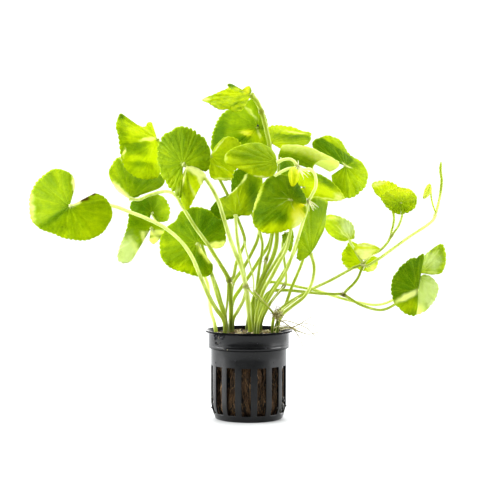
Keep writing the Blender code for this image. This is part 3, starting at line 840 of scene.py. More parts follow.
# light and dark marks paint the leaf's own paler and deeper tissue, and also painted light and shade: lit
# facets, and shadows cast by folds and by other leaves.
light, dark, cream = partial(Mark, Tint.LIGHTER_AND_PAINTED_LIGHT), partial(Mark, Tint.DARK), partial(Mark, Tint.CREAM)
pale, yellow, brown = partial(Mark, Tint.PALE), partial(Mark, Tint.YELLOW), partial(Mark, Tint.BROWN)

# Every flat leaf blade with its outline, depth and markings; the light and dark markings include painted
# light and painted shade.
BLADES = (
    Blade("far_left", (-108.7, 128.8, -28), (-0.35, 0.25), 4, veins=11, scallop=0.35, tone=-0.02,
          relief=0.65, ruffle=0.55, folds=(Fold(0, 0, 218, 0.25, 0.25),), margin=(
        (3.5, 12.2), (2.7, 17.7), (-0.9, 21.4), (-5.8, 22.8), (-10.8, 22.4), (-16.3, 18.8), (-21.3, 13.4),
        (-24.3, 5.7), (-24.5, -2.3), (-22.8, -9.2), (-18.3, -13.5), (-11.3, -16.2), (-3.3, -19.4),
        (5.7, -20.8), (13.7, -19.8), (20.2, -15.8), (24.3, -10.2), (26.1, -4.8), (25.1, 0.7), (21.5, 5.8),
        (16.2, 8.6),
    ), marks=(
        light(13.7, -10.8, 11, 9, 0, 0.3), cream(-23.3, 1.2, 2.6, 15, 6, 0.45),
        # The long narrow dark mark by the hub paints the shade along the crease.
        dark(-8.3, -6.3, 11, 2, 38, 0.9), dark(-0.3, -1.8, 5, 4, 0, 0.4), cream(3.7, 12.2, 1.9, 8, 6, 1.1),
        light(2.7, -17.8, 16, 3, 3, 0.2), dark(-13.3, 11.2, 6, 8, 30, 0.15),
        brown(9.3, 4.4, 2.4, 1.1, 28, 1.5), brown(14.3, 7.8, 1.8, 0.8, 20),
        cream(4.9, 2.6, 5.5, 1.3, 33, 1.1),
    )),
    Blade("tall_left", (-55.5, 169.5, 22), (0.8, 0.35), 3, veins=7, tone=0.45, scallop=0.2, ruffle=0.9,
          folds=(Fold(-6.5, -0.1, 176, 0.35, 0.5),), margin=(
        (-1.5, 3.9), (-2.3, 7.1), (-3.3, 10.1), (-5.5, 10.3), (-7.9, 7.7), (-12.7, 9.3), (-18.5, 13.1),
        (-22.1, 15.7), (-24.1, 12), (-25.1, 7.3), (-23.7, 1.5), (-22.9, -5.1), (-22.1, -10.9),
        (-19.1, -18.3), (-13.1, -23.1), (-5.5, -24.5), (0.9, -22.5), (2.3, -13.5),
    ), marks=(
        # The crisp dark mark paints the shadow under the fold, below the pale stripe.
        dark(-20.7, 2.5, 3, 10, 8, 0.75), dark(-12, -1.9, 9, 8, 4, crisp=True),
        light(-2.1, -6.5, 3.6, 12, 0, 0.8), cream(-5, 0.1, 5.5, 1.1, 6, 0.8),
        yellow(-5, 0.1, 7, 1.4, 6, 0.3), light(-10.5, 6, 10, 4, 18, 0.5),
        light(-10.5, -11.3, 9, 2, -4, 0.7), dark(-8.5, -15.1, 9, 1.5, -4, 0.7),
        dark(-22.4, 14.1, 2.2, 2.6, 0, 2), brown(-22.1, 14.9, 1.2, 1.4, 0, 0.3),
        cream(-19.9, -8.1, 0.7, 3.6, -10, 0.9),
    )),
    Blade("lower_left", (-72.4, 133.7, 14), (0.2, 0.7), 4, scallop=0.35, tone=-0.15, relief=0.7, ruffle=0.7,
          margin=(
        (-3.6, 1.9), (-7.2, 4.7), (-10.2, 8.9), (-12.2, 13.7), (-12.5, 17.3), (-10.6, 20.5), (-9, 23.3),
        (-6.1, 25.2), (-3, 22.9), (0.4, 20.1), (4.8, 17.7), (10.4, 16.7), (16.4, 15.9), (20.6, 13.7),
        (21.4, 9.3), (16.7, 5.5), (10, 4.5), (5.4, 0.9),
    ), marks=(
        cream(-6.2, 4.7, 7, 2.4, -50), light(-9.1, 13.3, 4, 8, 0, 0.5), dark(11.4, 11.3, 10, 5, 0, 0.5),
        dark(2.4, 11.3, 6, 3, -50, 0.2), cream(-1.8, 19.7, 6.5, 0.8, -48, 0.7),
        cream(-2.1, 1.5, 3.5, 1.2, -30, 0.8),
    )),
    Blade("round_left", (-39.9, 154.4, -22), (-0.35, 0.35), 4, veins=11, scallop=0.9, nick=1.25, tooth=3.4,
          tone=-0.3, ruffle=0.6, margin=(
        (14.7, -4.8), (16.7, -1.4), (17.1, 3.6), (16.5, 9.1), (14.9, 13.6), (11.3, 18), (6.9, 21),
        (1.3, 23.2), (-4.1, 22.4), (-8.5, 20), (-13.1, 16.8), (-15.5, 11.6), (-16.1, 5.2), (-15, -1.4),
        (-12.5, -8), (-8.7, -14), (-4.1, -19.2), (-1.5, -20.6), (-0.8, -16.9),
    ), marks=(
        light(-8.1, -8.4, 10, 6, -55, 0.45), dark(10.9, 11.6, 5, 8, 0, 0.35),
        dark(-4.1, 16.6, 9, 4, 0, 0.25), cream(1.1, -0.8, 2.6, 1.1, -35, 0.7),
        light(6.9, 2.6, 7, 4, 0, 0.35), cream(-3.6, -16.4, 2, 4, -20, 0.3),
        light(-10.1, 5.6, 4, 6, 0, 0.25),
    )),
    Blade("behind_round", (-37.8, 153, -26.4), (-0.33, -0.02), 1, piece="lobe_behind_round", veins=5,
          scallop=0.15, tone=0.35, ruffle=0.9, rings=16, columns=130,
          folds=(Fold(4.8, -6.5, -22, 0.5, 0.35),), margin=(
        (3.3, 0.4), (7.6, -1.2), (11.2, -4), (12.2, -6.8), (10.2, -9.6), (6.8, -15.4), (3.4, -22.4),
        (0.8, -26.6), (-1, -25.4), (-3.4, -20.2), (-3.6, -13), (-2.8, -6),
    ), marks=(
        cream(7, -2.8, 7.5, 2.6, -28, 1.4), cream(-2, -9, 0.8, 8, -14, 0.9),
        cream(9.2, -10, 1.6, 7, 22, 0.6), cream(4.8, -17, 1.4, 8, 24, 0.5), dark(0.8, -10, 1.8, 5, 0, 0.3),
        light(4.8, -11, 4, 10, 0, 0.6),
    )),
    Blade("mid_left", (-59, 125.2, 30), (0.3, 0.5), 2, veins=7, scallop=0.4, tone=-0.15, relief=0.7,
          folds=(Fold(0, 0, 96, 0.5, 0.4),), margin=(
        (-1.5, -4.7), (-7, -3.4), (-12.6, 1), (-12.6, 6.2), (-7, 9.2), (-1, 10.2), (3.5, 11.4), (8.3, 8.6),
        (10.8, 4.4), (11.4, -0.2), (10, -4.8), (4, -6.4),
    ), marks=(
        dark(-7, 3.8, 7.5, 7, 0, 1.4), light(8, 1.8, 4, 7, 0, 0.45), cream(10.4, -3.6, 3, 1.2, 60, 0.35),
    )),
    Blade("hanging_left", (-59.5, 115.8, 24), (0.2, -0.3), 2, scallop=0.3, tone=-0.1, relief=0.3,
          ruffle=0.45, folds=(Fold(-10.5, -4.8, 8, 0.5, -0.2),), margin=(
        (-4.5, -3.2), (-5.1, -5.8), (-6.5, -9.6), (-9.1, -15.2), (-11.7, -19.8), (-15.5, -21.8),
        (-19.7, -20.2), (-20.5, -16), (-18.5, -9.8), (-16.5, -4.8), (-14.7, 0.2), (-13.9, 5.2), (-13.1, 9),
        (-7.5, 8.2), (-2, 6.2), (4.9, 2.2), (8.1, -0.6), (6.9, -4.8), (2, -9.8), (-1, -8.2),
    ), marks=(
        dark(-10, 2.7, 5, 4.5, 0, 0.5), pale(-16, -16.3, 9, 13, 8), cream(-9.1, -13.8, 2, 9, 25, 0.8),
        dark(-15.5, -3.8, 5, 3, 0, 0.4), cream(0.5, -8, 5.5, 2.2, 30, 1.2), cream(3.5, -2.6, 7, 1.6, 5),
        cream(-4.1, -6.8, 1.4, 5, 20, 0.8), dark(-16.5, -2.8, 2.2, 3, 0, 0.6),
    )),
    Blade("low_left", (-31.5, 106.5, 10), (-0.2, 0.5), 4, veins=11, scallop=0.45, tone=-0.22, relief=0.8,
          ruffle=0.7, margin=(
        (12.1, -3.5), (15.7, -2.1), (17.9, 1.9), (17.7, 6.5), (16.5, 13.1), (12.9, 17.5), (7, 20.9),
        (0.5, 22.2), (-4.9, 21.9), (-10.1, 19.1), (-13.1, 13.9), (-18.1, 10.1), (-21.5, 5.5), (-23, -1.5),
        (-22.3, -7.5), (-18.5, -13.5), (-13.1, -16.5), (-6.5, -18.5), (0, -20.3), (5.5, -20.5),
        (9.1, -18.1), (10.3, -13.9),
    ), marks=(
        dark(5.5, 11.5, 13, 9), light(-8.5, -15, 13, 3.6, -14, 0.6), cream(12.5, -1.5, 7, 2.4, 10, 1.4),
        dark(2.9, -10.5, 4, 7, 30, 0.9), yellow(4.3, -6.1, 9, 2.4, -54, 0.55),
        cream(4.9, -6.7, 9, 2, -54, 0.55), light(-20.5, -2.5, 2, 7, 0, 0.4),
    )),
    Blade("top", (1.2, 196.3, 8), (0.25, 1.5), 1, scallop=0.35, tone=0.6, relief=0.5, ruffle=1.3,
          crinkle=0.5, margin=(
        (0.6, 2.7), (-0.6, 5.1), (-2.8, 4.9), (-6.8, 2.5), (-10, 4.3), (-10.8, 6.1), (-12.8, 6.9),
        (-14.2, 6.1), (-14, 4.3), (-17.9, 2.5), (-23.7, -0.1), (-29.8, -3.1), (-25.8, -4.9), (-22.2, -7.5),
        (-17.7, -9.1), (-13.2, -8.9), (-9.7, -10.5), (-5.7, -9.7), (-2.7, -5.8),
    ), marks=(
        dark(-12.6, 5.9, 2.6, 1.4, -25, 2.2), brown(-12.8, 6.3, 1.6, 0.9, -25, 0.3),
        dark(-13.2, -6.7, 11, 2.4, 0, 0.35), yellow(-2.4, 2.9, 2.6, 3.4, -10, 0.55),
        dark(0, 2.7, 0.8, 3.4, -8, 1.2), dark(-5.8, 1.7, 0.8, 2.4, 20, 0.6),
        cream(-27.6, -3.1, 3.5, 1.2, 0, 0.6), dark(-14.2, -1.3, 2.5, 1.2, 0, 0.5),
        brown(-24.4, -5.5, 0.7, 0.5, 0, 0.7), light(-13.2, 1.1, 8, 1.6, 0, 0.5),
        dark(-8.2, -3.8, 3, 1.4, 30, 0.5),
    )),
    Blade("upper_back", (5.1, 176.9, 24), (-0.2, 0.5), 3, veins=11, scallop=0.3, tone=-0.28, relief=0.7,
          ruffle=0.9, margin=(
        (7, -0.4), (5.7, 5.1), (3.7, 10.3), (1.3, 14.7), (-1.9, 17.3), (-6.1, 16.1), (-12.1, 12.5),
        (-19.9, 9.5), (-23.9, 4.7), (-26.5, -0.9), (-28, -7.3), (-28, -13.9), (-22.6, -16.9),
        (-14.1, -13.9), (-4.1, -13.4), (2.9, -12.9), (7.7, -9.9), (7, -0.5),
    ), marks=(
        dark(-23.1, -4.9, 4, 11, -16, 0.9), light(-11.1, 3.1, 9, 5, 0, 0.15),
        yellow(-5.7, -3.5, 4.8, 2.4, -8, 0.7), cream(-6.7, -3.5, 4, 1.6, -8, 0.35),
        brown(-4.5, -3.7, 1.6, 0.8, 0, 0.35), dark(-9.1, -7.4, 7, 2.2, 10, 0.7),
        light(-3.1, 8.5, 5, 3, -40, 0.3), cream(-3.7, 8.5, 7, 1.2, -46, 0.45),
        dark(1.9, 9.1, 1.2, 6, 30, 0.4), light(0.9, -6.9, 5, 4, 0, 0.9), cream(1.1, -4.4, 1, 4, 20, 0.5),
        dark(4.9, -1.9, 1.5, 6, 15, 0.4),
    )),
    Blade("upper_middle", (-23.3, 159.4, 3), (0.35, 0.5), 2, veins=7, scallop=0.25, tone=0.55, relief=0.6,
          margin=(
        (3, 6.1), (9, 11.6), (15.8, 10.8), (19.7, 5.4), (18.5, -4.3), (14.7, -9.8), (12.9, -14.6),
        (5.1, -14.7), (0.5, -13.4), (-1.3, -6.9),
    ), marks=(
        cream(4.7, 5.8, 8, 0.6, 50, 0.6), cream(5.7, -6.6, 8, 0.5, -20, 0.35),
        cream(6.8, -13.8, 7, 0.9, 0, 0.7), dark(9.3, -2.4, 4, 4, 0, 0.3), light(12.3, -10.9, 3, 3, 0, 0.4),
        yellow(11.8, -11.8, 1.6, 1.2, 0, 0.5),
    )),
    Blade("centre", (17, 155.6, -38), (0.25, 0.95), 3, scallop=0.12, nick=0.2, tone=0.1, relief=0.22,
          margin=(
        (-0.6, 4.2), (-2.4, 7), (-4.8, 9.2), (-9.5, 11.4), (-14.8, 11.8), (-20.6, 10.8), (-26.9, 8.4),
        (-30.6, 5.6), (-31.8, 2), (-30.4, -1), (-25.5, -3.1), (-18.7, -6), (-13.3, -8.7), (-7.5, -9.5),
        (-2.7, -8.2), (0.2, -4.9),
    ), marks=(
        light(-24, -1.6, 11, 4, -24, 0.45), light(-9, -7.6, 8, 2.4, 0, 0.45),
        cream(-13, -8.7, 11, 0.8, -4, 0.6), dark(-13, 4.4, 11, 4, 0, 0.35),
        light(-29.4, 1.9, 2.6, 4, 0, 0.35), cream(-31, 2.9, 1, 3.4, 0, 0.6),
    )),
    Blade("upper_right", (13, 167.6, 33), (0.2, 1.2), 2, veins=7, scallop=0.25, tone=0.45, ruffle=0.6,
          margin=(
        (-1.4, 4.4), (-1, 9.4), (3, 10.6), (11.4, 10), (15.5, 8.8), (20, 6.8), (24.4, 6.2), (25, 4),
        (23, -0.8), (14, -4.1), (6, -3.8),
    ), marks=(
        # The crisp dark mark paints a band of shadow on the blade's lower part.
        dark(14, 4.6, 11, 4.2, -4, 1.1, crisp=True), light(11, 7.4, 12, 2.2, -8, 0.5),
        light(5, -1.6, 6, 3, 0, 0.5), dark(23.5, 1.4, 1.6, 3.4, 0, 0.9), cream(15, 6, 9, 0.7, -8, 0.5),
    )),
    Blade("round_right", (58.5, 153.5, 22), (0.45, 0.4), 4, veins=11, scallop=0.6, nick=0.8, tone=0.12,
          ruffle=0.8, margin=(
        (-12.5, 4.1), (-17.7, 8.3), (-20.3, 12.5), (-18.7, 15.9), (-14.4, 17.7), (-9.9, 18.5), (-5.9, 17.3),
        (-2.5, 14.9), (-0.1, 11.1), (2.1, 7.7), (6.1, 4.9), (10.1, 2.1), (12.7, -1.9), (13.9, -6.5),
        (13.1, -10.9), (11.1, -14.3), (7.8, -17.5), (3.7, -19.6), (-1, -19.7), (-4.5, -16.5), (-7.5, -11.5),
        (-8.9, -6.1),
    ), marks=(
        # The crisp dark mark paints the shadow that the rolled leaf above casts, under the pale upper
        # margin.
        dark(-6.5, 11.3, 15, 9, -33, 2.6, crisp=True), light(-9.5, 16.1, 7, 2.2, 0, 0.3),
        dark(-5.5, -9.5, 4, 7, 0, 0.2), light(7.5, -3.5, 5, 7, 0, 0.6), cream(0.9, 0.2, 3.4, 0.7, -30, 0.9),
    )),
    Blade("under_round", (33, 140.5, 5), (0.4, 0.8), 2, veins=7, scallop=0.25, tone=0.7, relief=0.7,
          ruffle=0.7, margin=(
        (-7, 3.1), (-12.6, 7.1), (-16.2, 12.1), (-14.6, 17.3), (-9.6, 18.1), (-4.8, 15.1), (-1.4, 11.1),
        (2.4, 9.9), (5.6, 9.5), (9.4, 8.3), (13.1, 6.4), (17.4, 3.7), (21, 0.3), (23.4, -2.9), (25.3, -6.8),
        (21.7, -8.4), (15.1, -8.5), (10.1, -7.9), (4, -7.5), (-1, -4.9), (-3.4, -1.5),
    ), marks=(
        # The two dark marks paint the shadow that the leaves above cast on its upper part.
        dark(12.5, 4.5, 9, 2.4, -34, 1.7), dark(-11, 12.5, 7, 6, 0, 1.9), light(10, -2, 9, 2.6, -20, 0.8),
        cream(21.6, -5.7, 3.8, 2.2, -30, 0.6), cream(12, -6.9, 9, 0.8, -4, 0.6),
    )),
    Blade("front_centre", (25.8, 133.1, -34), (-0.2, 0.35), 4, veins=11, scallop=0.2, tone=-0.68,
          relief=0.42, ruffle=0.6, margin=(
        (9.2, -3.5), (9.4, 0.4), (6.8, 5.9), (4.2, 9.9), (0.3, 13.7), (-6.2, 15.4), (-12.4, 14.2),
        (-17, 10.3), (-20.2, 3.9), (-22.6, -3.1), (-23.6, -11.1), (-22.8, -15.7), (-19.8, -18.9),
        (-15.3, -20.8), (-9, -20.7), (-2.3, -18.7), (3.9, -16.2), (7.5, -12.4), (9, -8.4), (9.2, -3.7),
    ), marks=(
        yellow(4.6, -10.8, 4.6, 7.5, 14, 0.9), cream(4.8, -12.5, 4.2, 6.4, 14, 0.6),
        cream(4.7, -15.5, 4.6, 2.2, 35, 0.7), light(-11.8, -17.9, 15, 3.6, 6, 1.7),
        light(3.2, -12.1, 6, 9, 0, 1.7), brown(7.4, -5.3, 2.6, 0.9, -8, 0.12),
        dark(-5.2, -10.3, 5, 2, -20, 0.45), dark(4.8, 5.9, 3.4, 6, 20, 0.7),
        light(-4.8, -3.1, 6, 4, 20, 0.5), light(-10.8, 6.9, 7, 4, 20, 0.35),
        yellow(6.6, -3.5, 2.6, 1.2, 0, 0.7), cream(-1.2, -0.1, 1.2, 0.7, 0, 0.7),
        cream(-6.2, 0.8, 5.5, 0.5, -3, 0.3), cream(-5.2, -2.3, 5, 0.5, 30, 0.32),
        cream(-4.2, 3.3, 4.5, 0.4, -38, 0.22), cream(0.6, -3.7, 3.6, 0.5, -66, 0.25),
        cream(-19.6, -0.5, 11, 3.4, -111, 0.5, crisp=True),
        light(-19.6, -0.5, 12, 3.6, -111, 1.8, crisp=True),
    )),
    Blade("folded_centre", (-8, 123.8, -8), (-0.25, 0.35), 3, veins=8, scallop=0.35, tone=0.15, ruffle=0.6,
          folds=(Fold(6.4, 12.2, 86, 0.3, 0.55),), margin=(
        (-4.5, -1.9), (-8.6, -0.8), (-10.2, 4.8), (-9.4, 10), (-5, 11.6), (0, 16), (4.5, 21.9), (6.2, 25.2),
        (10, 25.2), (13.4, 24.4), (16.6, 19.2), (13.5, 10.2), (9.5, 0.4), (4.5, -0.2),
    ), marks=(
        dark(10.8, 12.2, 3.6, 12, 6, 1.3), light(2, 10.2, 5, 8, 20, 0.5), light(-4, 5.2, 5, 5, 0, 0.3),
        cream(5.4, 22.2, 3.4, 1.1, 64, 0.9), cream(-1, 14.8, 7, 0.6, 46, 0.7), dark(-7, 0.7, 4, 2, 0, 0.4),
        cream(2, 8.2, 0.6, 8, 12, 0.3),
    )),
    Blade("dark_back", (-5, 139, 13), (0.1, 0.3), 2, veins=7, scallop=0.4, tone=-1, margin=(
        (-6, -1.5), (-5.3, 8), (-2, 12.5), (5, 11), (8, 1), (6, -10), (-3, -17.5), (-13, -18), (-18.7, -13),
        (-14.5, -6),
    )),
    Blade("long_right", (37.6, 100.4, -8), (1.1, -0.1), 1, veins=7, scallop=0.3, tone=-0.14, relief=0.5,
          ruffle=0.7, margin=(
        (3.3, 4.8), (5.8, 9.6), (8, 14.1), (9.2, 19.1), (9.6, 25.6), (10.4, 31.2), (8.4, 32.6), (3.9, 34.2),
        (0.2, 32.6), (-3, 22.6), (-6.6, 10.6), (-8.6, -1.4), (-8.2, -3.6), (-6.4, -4.6), (-3, -3),
    ), marks=(
        dark(4.4, 28.6, 5, 7, 0, 0.4), light(-4.1, 2.6, 3, 6, 20, 0.3), light(6.4, 12.6, 2, 8, 20, 0.2),
    )),
    Blade("small_back", (22.5, 113, 12), (0.4, 0.3), 1, veins=5, scallop=0.2, tone=-0.1, rings=14,
          columns=100, margin=(
        (4.4, 1.5), (4.9, -4.1), (2.7, -11.8), (-1.2, -7.5), (-2.7, -1.5),
    ), marks=(cream(1, -5, 4, 5, 0, 0.22),)),
    Blade("right_mid", (61.3, 108.6, 12), (-0.3, 0.7), 2, veins=7, scallop=0.2, tone=0.3,
          folds=(Fold(-3.3, 6.4, 118, 0.5, 0.2),), margin=(
        (2.9, 0.7), (3.1, 5.4), (1.9, 9.4), (-0.9, 12), (-6, 14.2), (-11.4, 15.4), (-14.5, 14.4),
        (-15.3, 7.9), (-12.3, 3), (-7.2, -0.2), (-3, -1),
    ), marks=(
        cream(-6.3, 7.4, 13, 10, 0, 0.16), pale(-1.5, 7.9, 5, 6.5, 25, 0.75),
        cream(-2.1, 4, 5, 0.45, -62, 0.7), cream(-4.3, 4.2, 6, 0.4, -48, 0.5),
        cream(0.1, 4.8, 5, 0.4, -80, 0.5), light(-11.7, 7.9, 3.5, 6, 0, 0.3),
        dark(-1.3, 10, 3, 1, -40, 0.3), cream(-9.3, 13, 6, 1.4, -4, 0.45), light(-2.3, 6.4, 4, 5, 0, 0.4),
    )),
    Blade("runner_back", (69, 95, 8), (-0.1, 0.4), 2, scallop=0.25, tone=0.7, margin=(
        (-2, 10.6), (-6.4, 12.8), (-8.4, 12.4), (-10, 9.6), (-12.2, 6.4), (-13, 2.4), (-11.8, -1.4),
        (-8, -4.6), (-3.5, -4), (1.6, -5.8), (6.8, -5.3), (9.1, -2.2), (10, 2.2), (7, 4),
    ), marks=(
        light(7, -2, 3, 4, 0, 0.6), cream(6.4, -3.6, 4, 2.4, 30, 0.7), dark(-8, 8, 2.6, 3, 0, 0.3),
        cream(-10, -2.5, 4, 1.6, -40, 0.4),
    )),
    Blade("runner_front", (79.6, 103.4, -6), (0.3, 0.9), 1, veins=5, scallop=0.15, tone=1.3, rings=16,
          columns=110, margin=(
        (-3.6, 2.1), (-9.1, 3.4), (-13.4, 2.6), (-16, -0.8), (-12.9, -5), (-9.6, -7.2), (-5.6, -5.4),
        (-1.6, -2.1),
    ), marks=(
        yellow(-9.6, 0.2, 7, 2.8, 6, 0.35), cream(-8.6, -4.8, 6, 2.6), cream(-8.6, 1.8, 6, 1.2, -4, 0.8),
        cream(-8.6, -1.4, 9, 1.2, 4, 0.6),
    )),
    Blade("yellow_back", (86, 130, 2), (0.1, 1), 2, veins=7, scallop=0.2, tone=0.85, margin=(
        (4.5, 3), (5, 10), (1.2, 13.6), (-5.5, 14.8), (-11.4, 13), (-10.8, 9.4), (-8.8, 6.2), (-4.5, 3.8),
        (0, 3),
    ), marks=(
        yellow(-6, 11.6, 7, 2.5, 10, 0.3), cream(-8, 12.6, 7, 1.6, 20, 0.5),
    )),
    Blade("yellow_front", (92, 131, -12), (0.05, 0.9), 3, nick=0.9, tone=0.2, relief=0.6, margin=(
        (0.5, -7.3), (5, -6), (7.8, -4.4), (9.9, -1), (10.3, 2.4), (8, 6.8), (3.4, 9.2), (-2.4, 9.6),
        (-8, 7.6), (-11.8, 4.4), (-11.6, 1), (-8.4, -3), (-4.2, -6.2), (0.2, -7.4),
    ), marks=(
        light(0, 6.6, 10, 3, -6, 0.8), dark(-2, -2, 8, 3.4, 0, 0.35), yellow(1, 7.6, 8, 1.6, -8, 0.4),
    )),
    Blade("far_right", (102.8, 77.9, -18), (0.25, 0.25), 3, scallop=0.45, nick=0.8, tone=-0.9, ruffle=0.8,
          folds=(Fold(-6.8, -3.4, 18, 0.1, 0.4),), margin=(
        (1, 10.1), (3.6, 21.5), (0.8, 21.5), (-0.8, 20.1), (-4.4, 19.7), (-8.8, 16.5), (-13.4, 11.5),
        (-16, 6.1), (-16.6, 0.7), (-15.8, -4.9), (-13.8, -8.7), (-10.8, -11.9), (-7.4, -14.5),
        (-4.4, -15.7), (-1.4, -15.5), (-0.2, -10.9),
    ), marks=(
        cream(-6.6, -3.7, 7.6, 1.9, 26, 1.1), light(-8.3, -10.5, 8, 5, 0, 1.3),
        dark(-4.8, 12.1, 6, 6, 0, 0.1), light(-2, 4.6, 0.6, 5, -12, 0.5), light(0.6, 14.1, 0.7, 7, -8, 0.5),
        light(-3, -7.9, 3, 6, 0, 0.6),
    )),
    Blade("far_right_upper", (104.6, 88.4, -5), (-0.3, 0.5), 2, veins=5, scallop=0.2, tone=0.2, relief=0.5,
          rings=16, columns=130, folds=(Fold(7.4, 7.1, 60, 0.35, 0.3),), margin=(
        (0.8, 9.6), (4.4, 13), (8.2, 15.8), (12.8, 18), (14.8, 14.1), (15.4, 8.6), (14.4, 3.2),
        (12.2, -0.2), (7, -1),
    ), marks=(
        pale(6.4, 7.6, 8, 8, 40, 0.6), dark(11, 8.1, 2, 5.5, -22, 0.75), cream(8, 10.2, 6.5, 0.5, 52, 0.45),
        cream(6.4, 0.4, 5, 1.2, 0, 0.45),
    )),
    Blade("far_right_lower", (103.4, 85.8, -7), (-0.2, 0.2), 2, veins=5, scallop=0.25, tone=-0.05,
          relief=0.35, columns=96, margin=(
        (3, 1.9), (6.2, 1.2), (9.8, -1.8), (12.1, -6.2), (10.8, -12.2), (7, -17.8), (2.8, -21.4),
        (-2, -22.9), (-2.4, -15.8),
    ), marks=(
        pale(5.6, -9.8, 10, 13, 0, 0.8), cream(0.4, -19.8, 3.4, 4.4, -18),
        dark(8.1, -7.8, 1.2, 5, -10, 0.3),
    )),
)


@dataclass
class RolledLeaf:
    """The blade on the upper right that has rolled down round its midrib into an open tube.

    Its ends are x, z and y in millimetres, and its turns are in degrees, 90 being the top. The radius is
    narrow's share of itself at the start, and whole from wide_from's share of the length.
    """

    start: Triple = (19.6, 162.6, 2.0)
    end: Triple = (48.3, 152.6, -5.0)
    arch: float = 1.5
    radius: float = 6.0
    turns: tuple[float, float] = (-75.0, 205.0)
    narrow: float = 0.6
    wide_from: float = 0.5
    rings: int = 60
    columns: int = 90
    thick: float = 0.34
    veins: int = 7

    def faces(self) -> Faces:
        """List the faces of the outside and the inside, then those along the four edges between them."""
        n, count = self.columns, self.rings * self.columns
        every: Faces = []
        for r in range(0, count - n, n):
            for p in range(r, r + n - 1):
                q, inner = p + n, count + p
                every += [(p, p + 1, q + 1, q), (inner, count + q, count + q + 1, inner + 1)]
            every.append((r, r + n, count + r + n, count + r))
            last = r + n - 1
            every.append((last, count + last, count + last + n, last + n))
        every += [(p, count + p, count + p + 1, p + 1) for p in range(n - 1)]
        every += [(p, p + 1, count + p + 1, count + p) for p in range(count - n, count - 1)]
        return every

    def build(self, material: Material) -> None:
        """Build the roll as a thin closed solid, its pale inside showing at the open end."""
        a, b = SIGHT.place(*self.start), SIGHT.place(*self.end)
        axis = unit(b - a)
        side = unit(np.cross(axis, (0, 0, 1)))
        up = np.cross(side, axis)
        along, turn = np.meshgrid(
            np.linspace(0, 1, self.rings), np.linspace(*self.turns, self.columns), indexing="ij"
        )
        far = along * (0.95 + 0.21 * np.sin(np.radians(turn - 45)))
        opened = np.sin(np.clip(far / self.wide_from, 0, 1) * math.pi / 2)
        wobble = 1 + 0.03 * ripple(far * 8, turn / 60, 1.6, 5)
        radius = self.radius * MM * (self.narrow + (1 - self.narrow) * opened) * wobble
        angle = np.radians(turn)
        ring = np.cos(angle)[..., None] * side + np.sin(angle)[..., None] * up
        middle = a + far[..., None] * (b - a) + (self.arch * MM * np.sin(math.pi * far))[..., None] * up
        half = self.thick * MM / 2
        sheets = [(middle + (radius + off)[..., None] * ring).reshape(-1, 3) for off in (half, -half)]
        # top is 1 along the roll's upper side: the outside's tone is raised there and lowered below as
        # painted light and painted shade, and cream is added there as a painted highlight.
        top = soft_step(0.1, 1.0, np.sin(angle + 0.5))
        front = soft_step(0.5, 0.7, along) * soft_step(95, 125, turn)
        cream_and_painted_highlight = 1.2 * front + 0.42 * top + 0.8 * soft_step(0.97, 1.0, along)
        around = self.veins * (turn - self.turns[0]) / (self.turns[1] - self.turns[0])
        pairs = {
            "tone": (1.7 * top - 0.48, 1), "cream": (cream_and_painted_highlight, 1.6), "pale": (0, 0.55),
            "around": (around, around), "out": (along, along), "under": (0.25, 0),
        }
        nought = 0.0 * along
        values = {key: np.array([part + nought for part in pair]).ravel() for key, pair in pairs.items()}
        reach = FULL_TURN * self.radius * 0.78 / self.veins
        values |= {"reach": reach, "seed": 7, "relief": 0.8, "yellow": 0, "brown": 0}
        piece = add_mesh("rolled_blade", np.vstack(sheets), self.faces(), material, values)
        settle(piece, "leaf", "leaf_rolled")


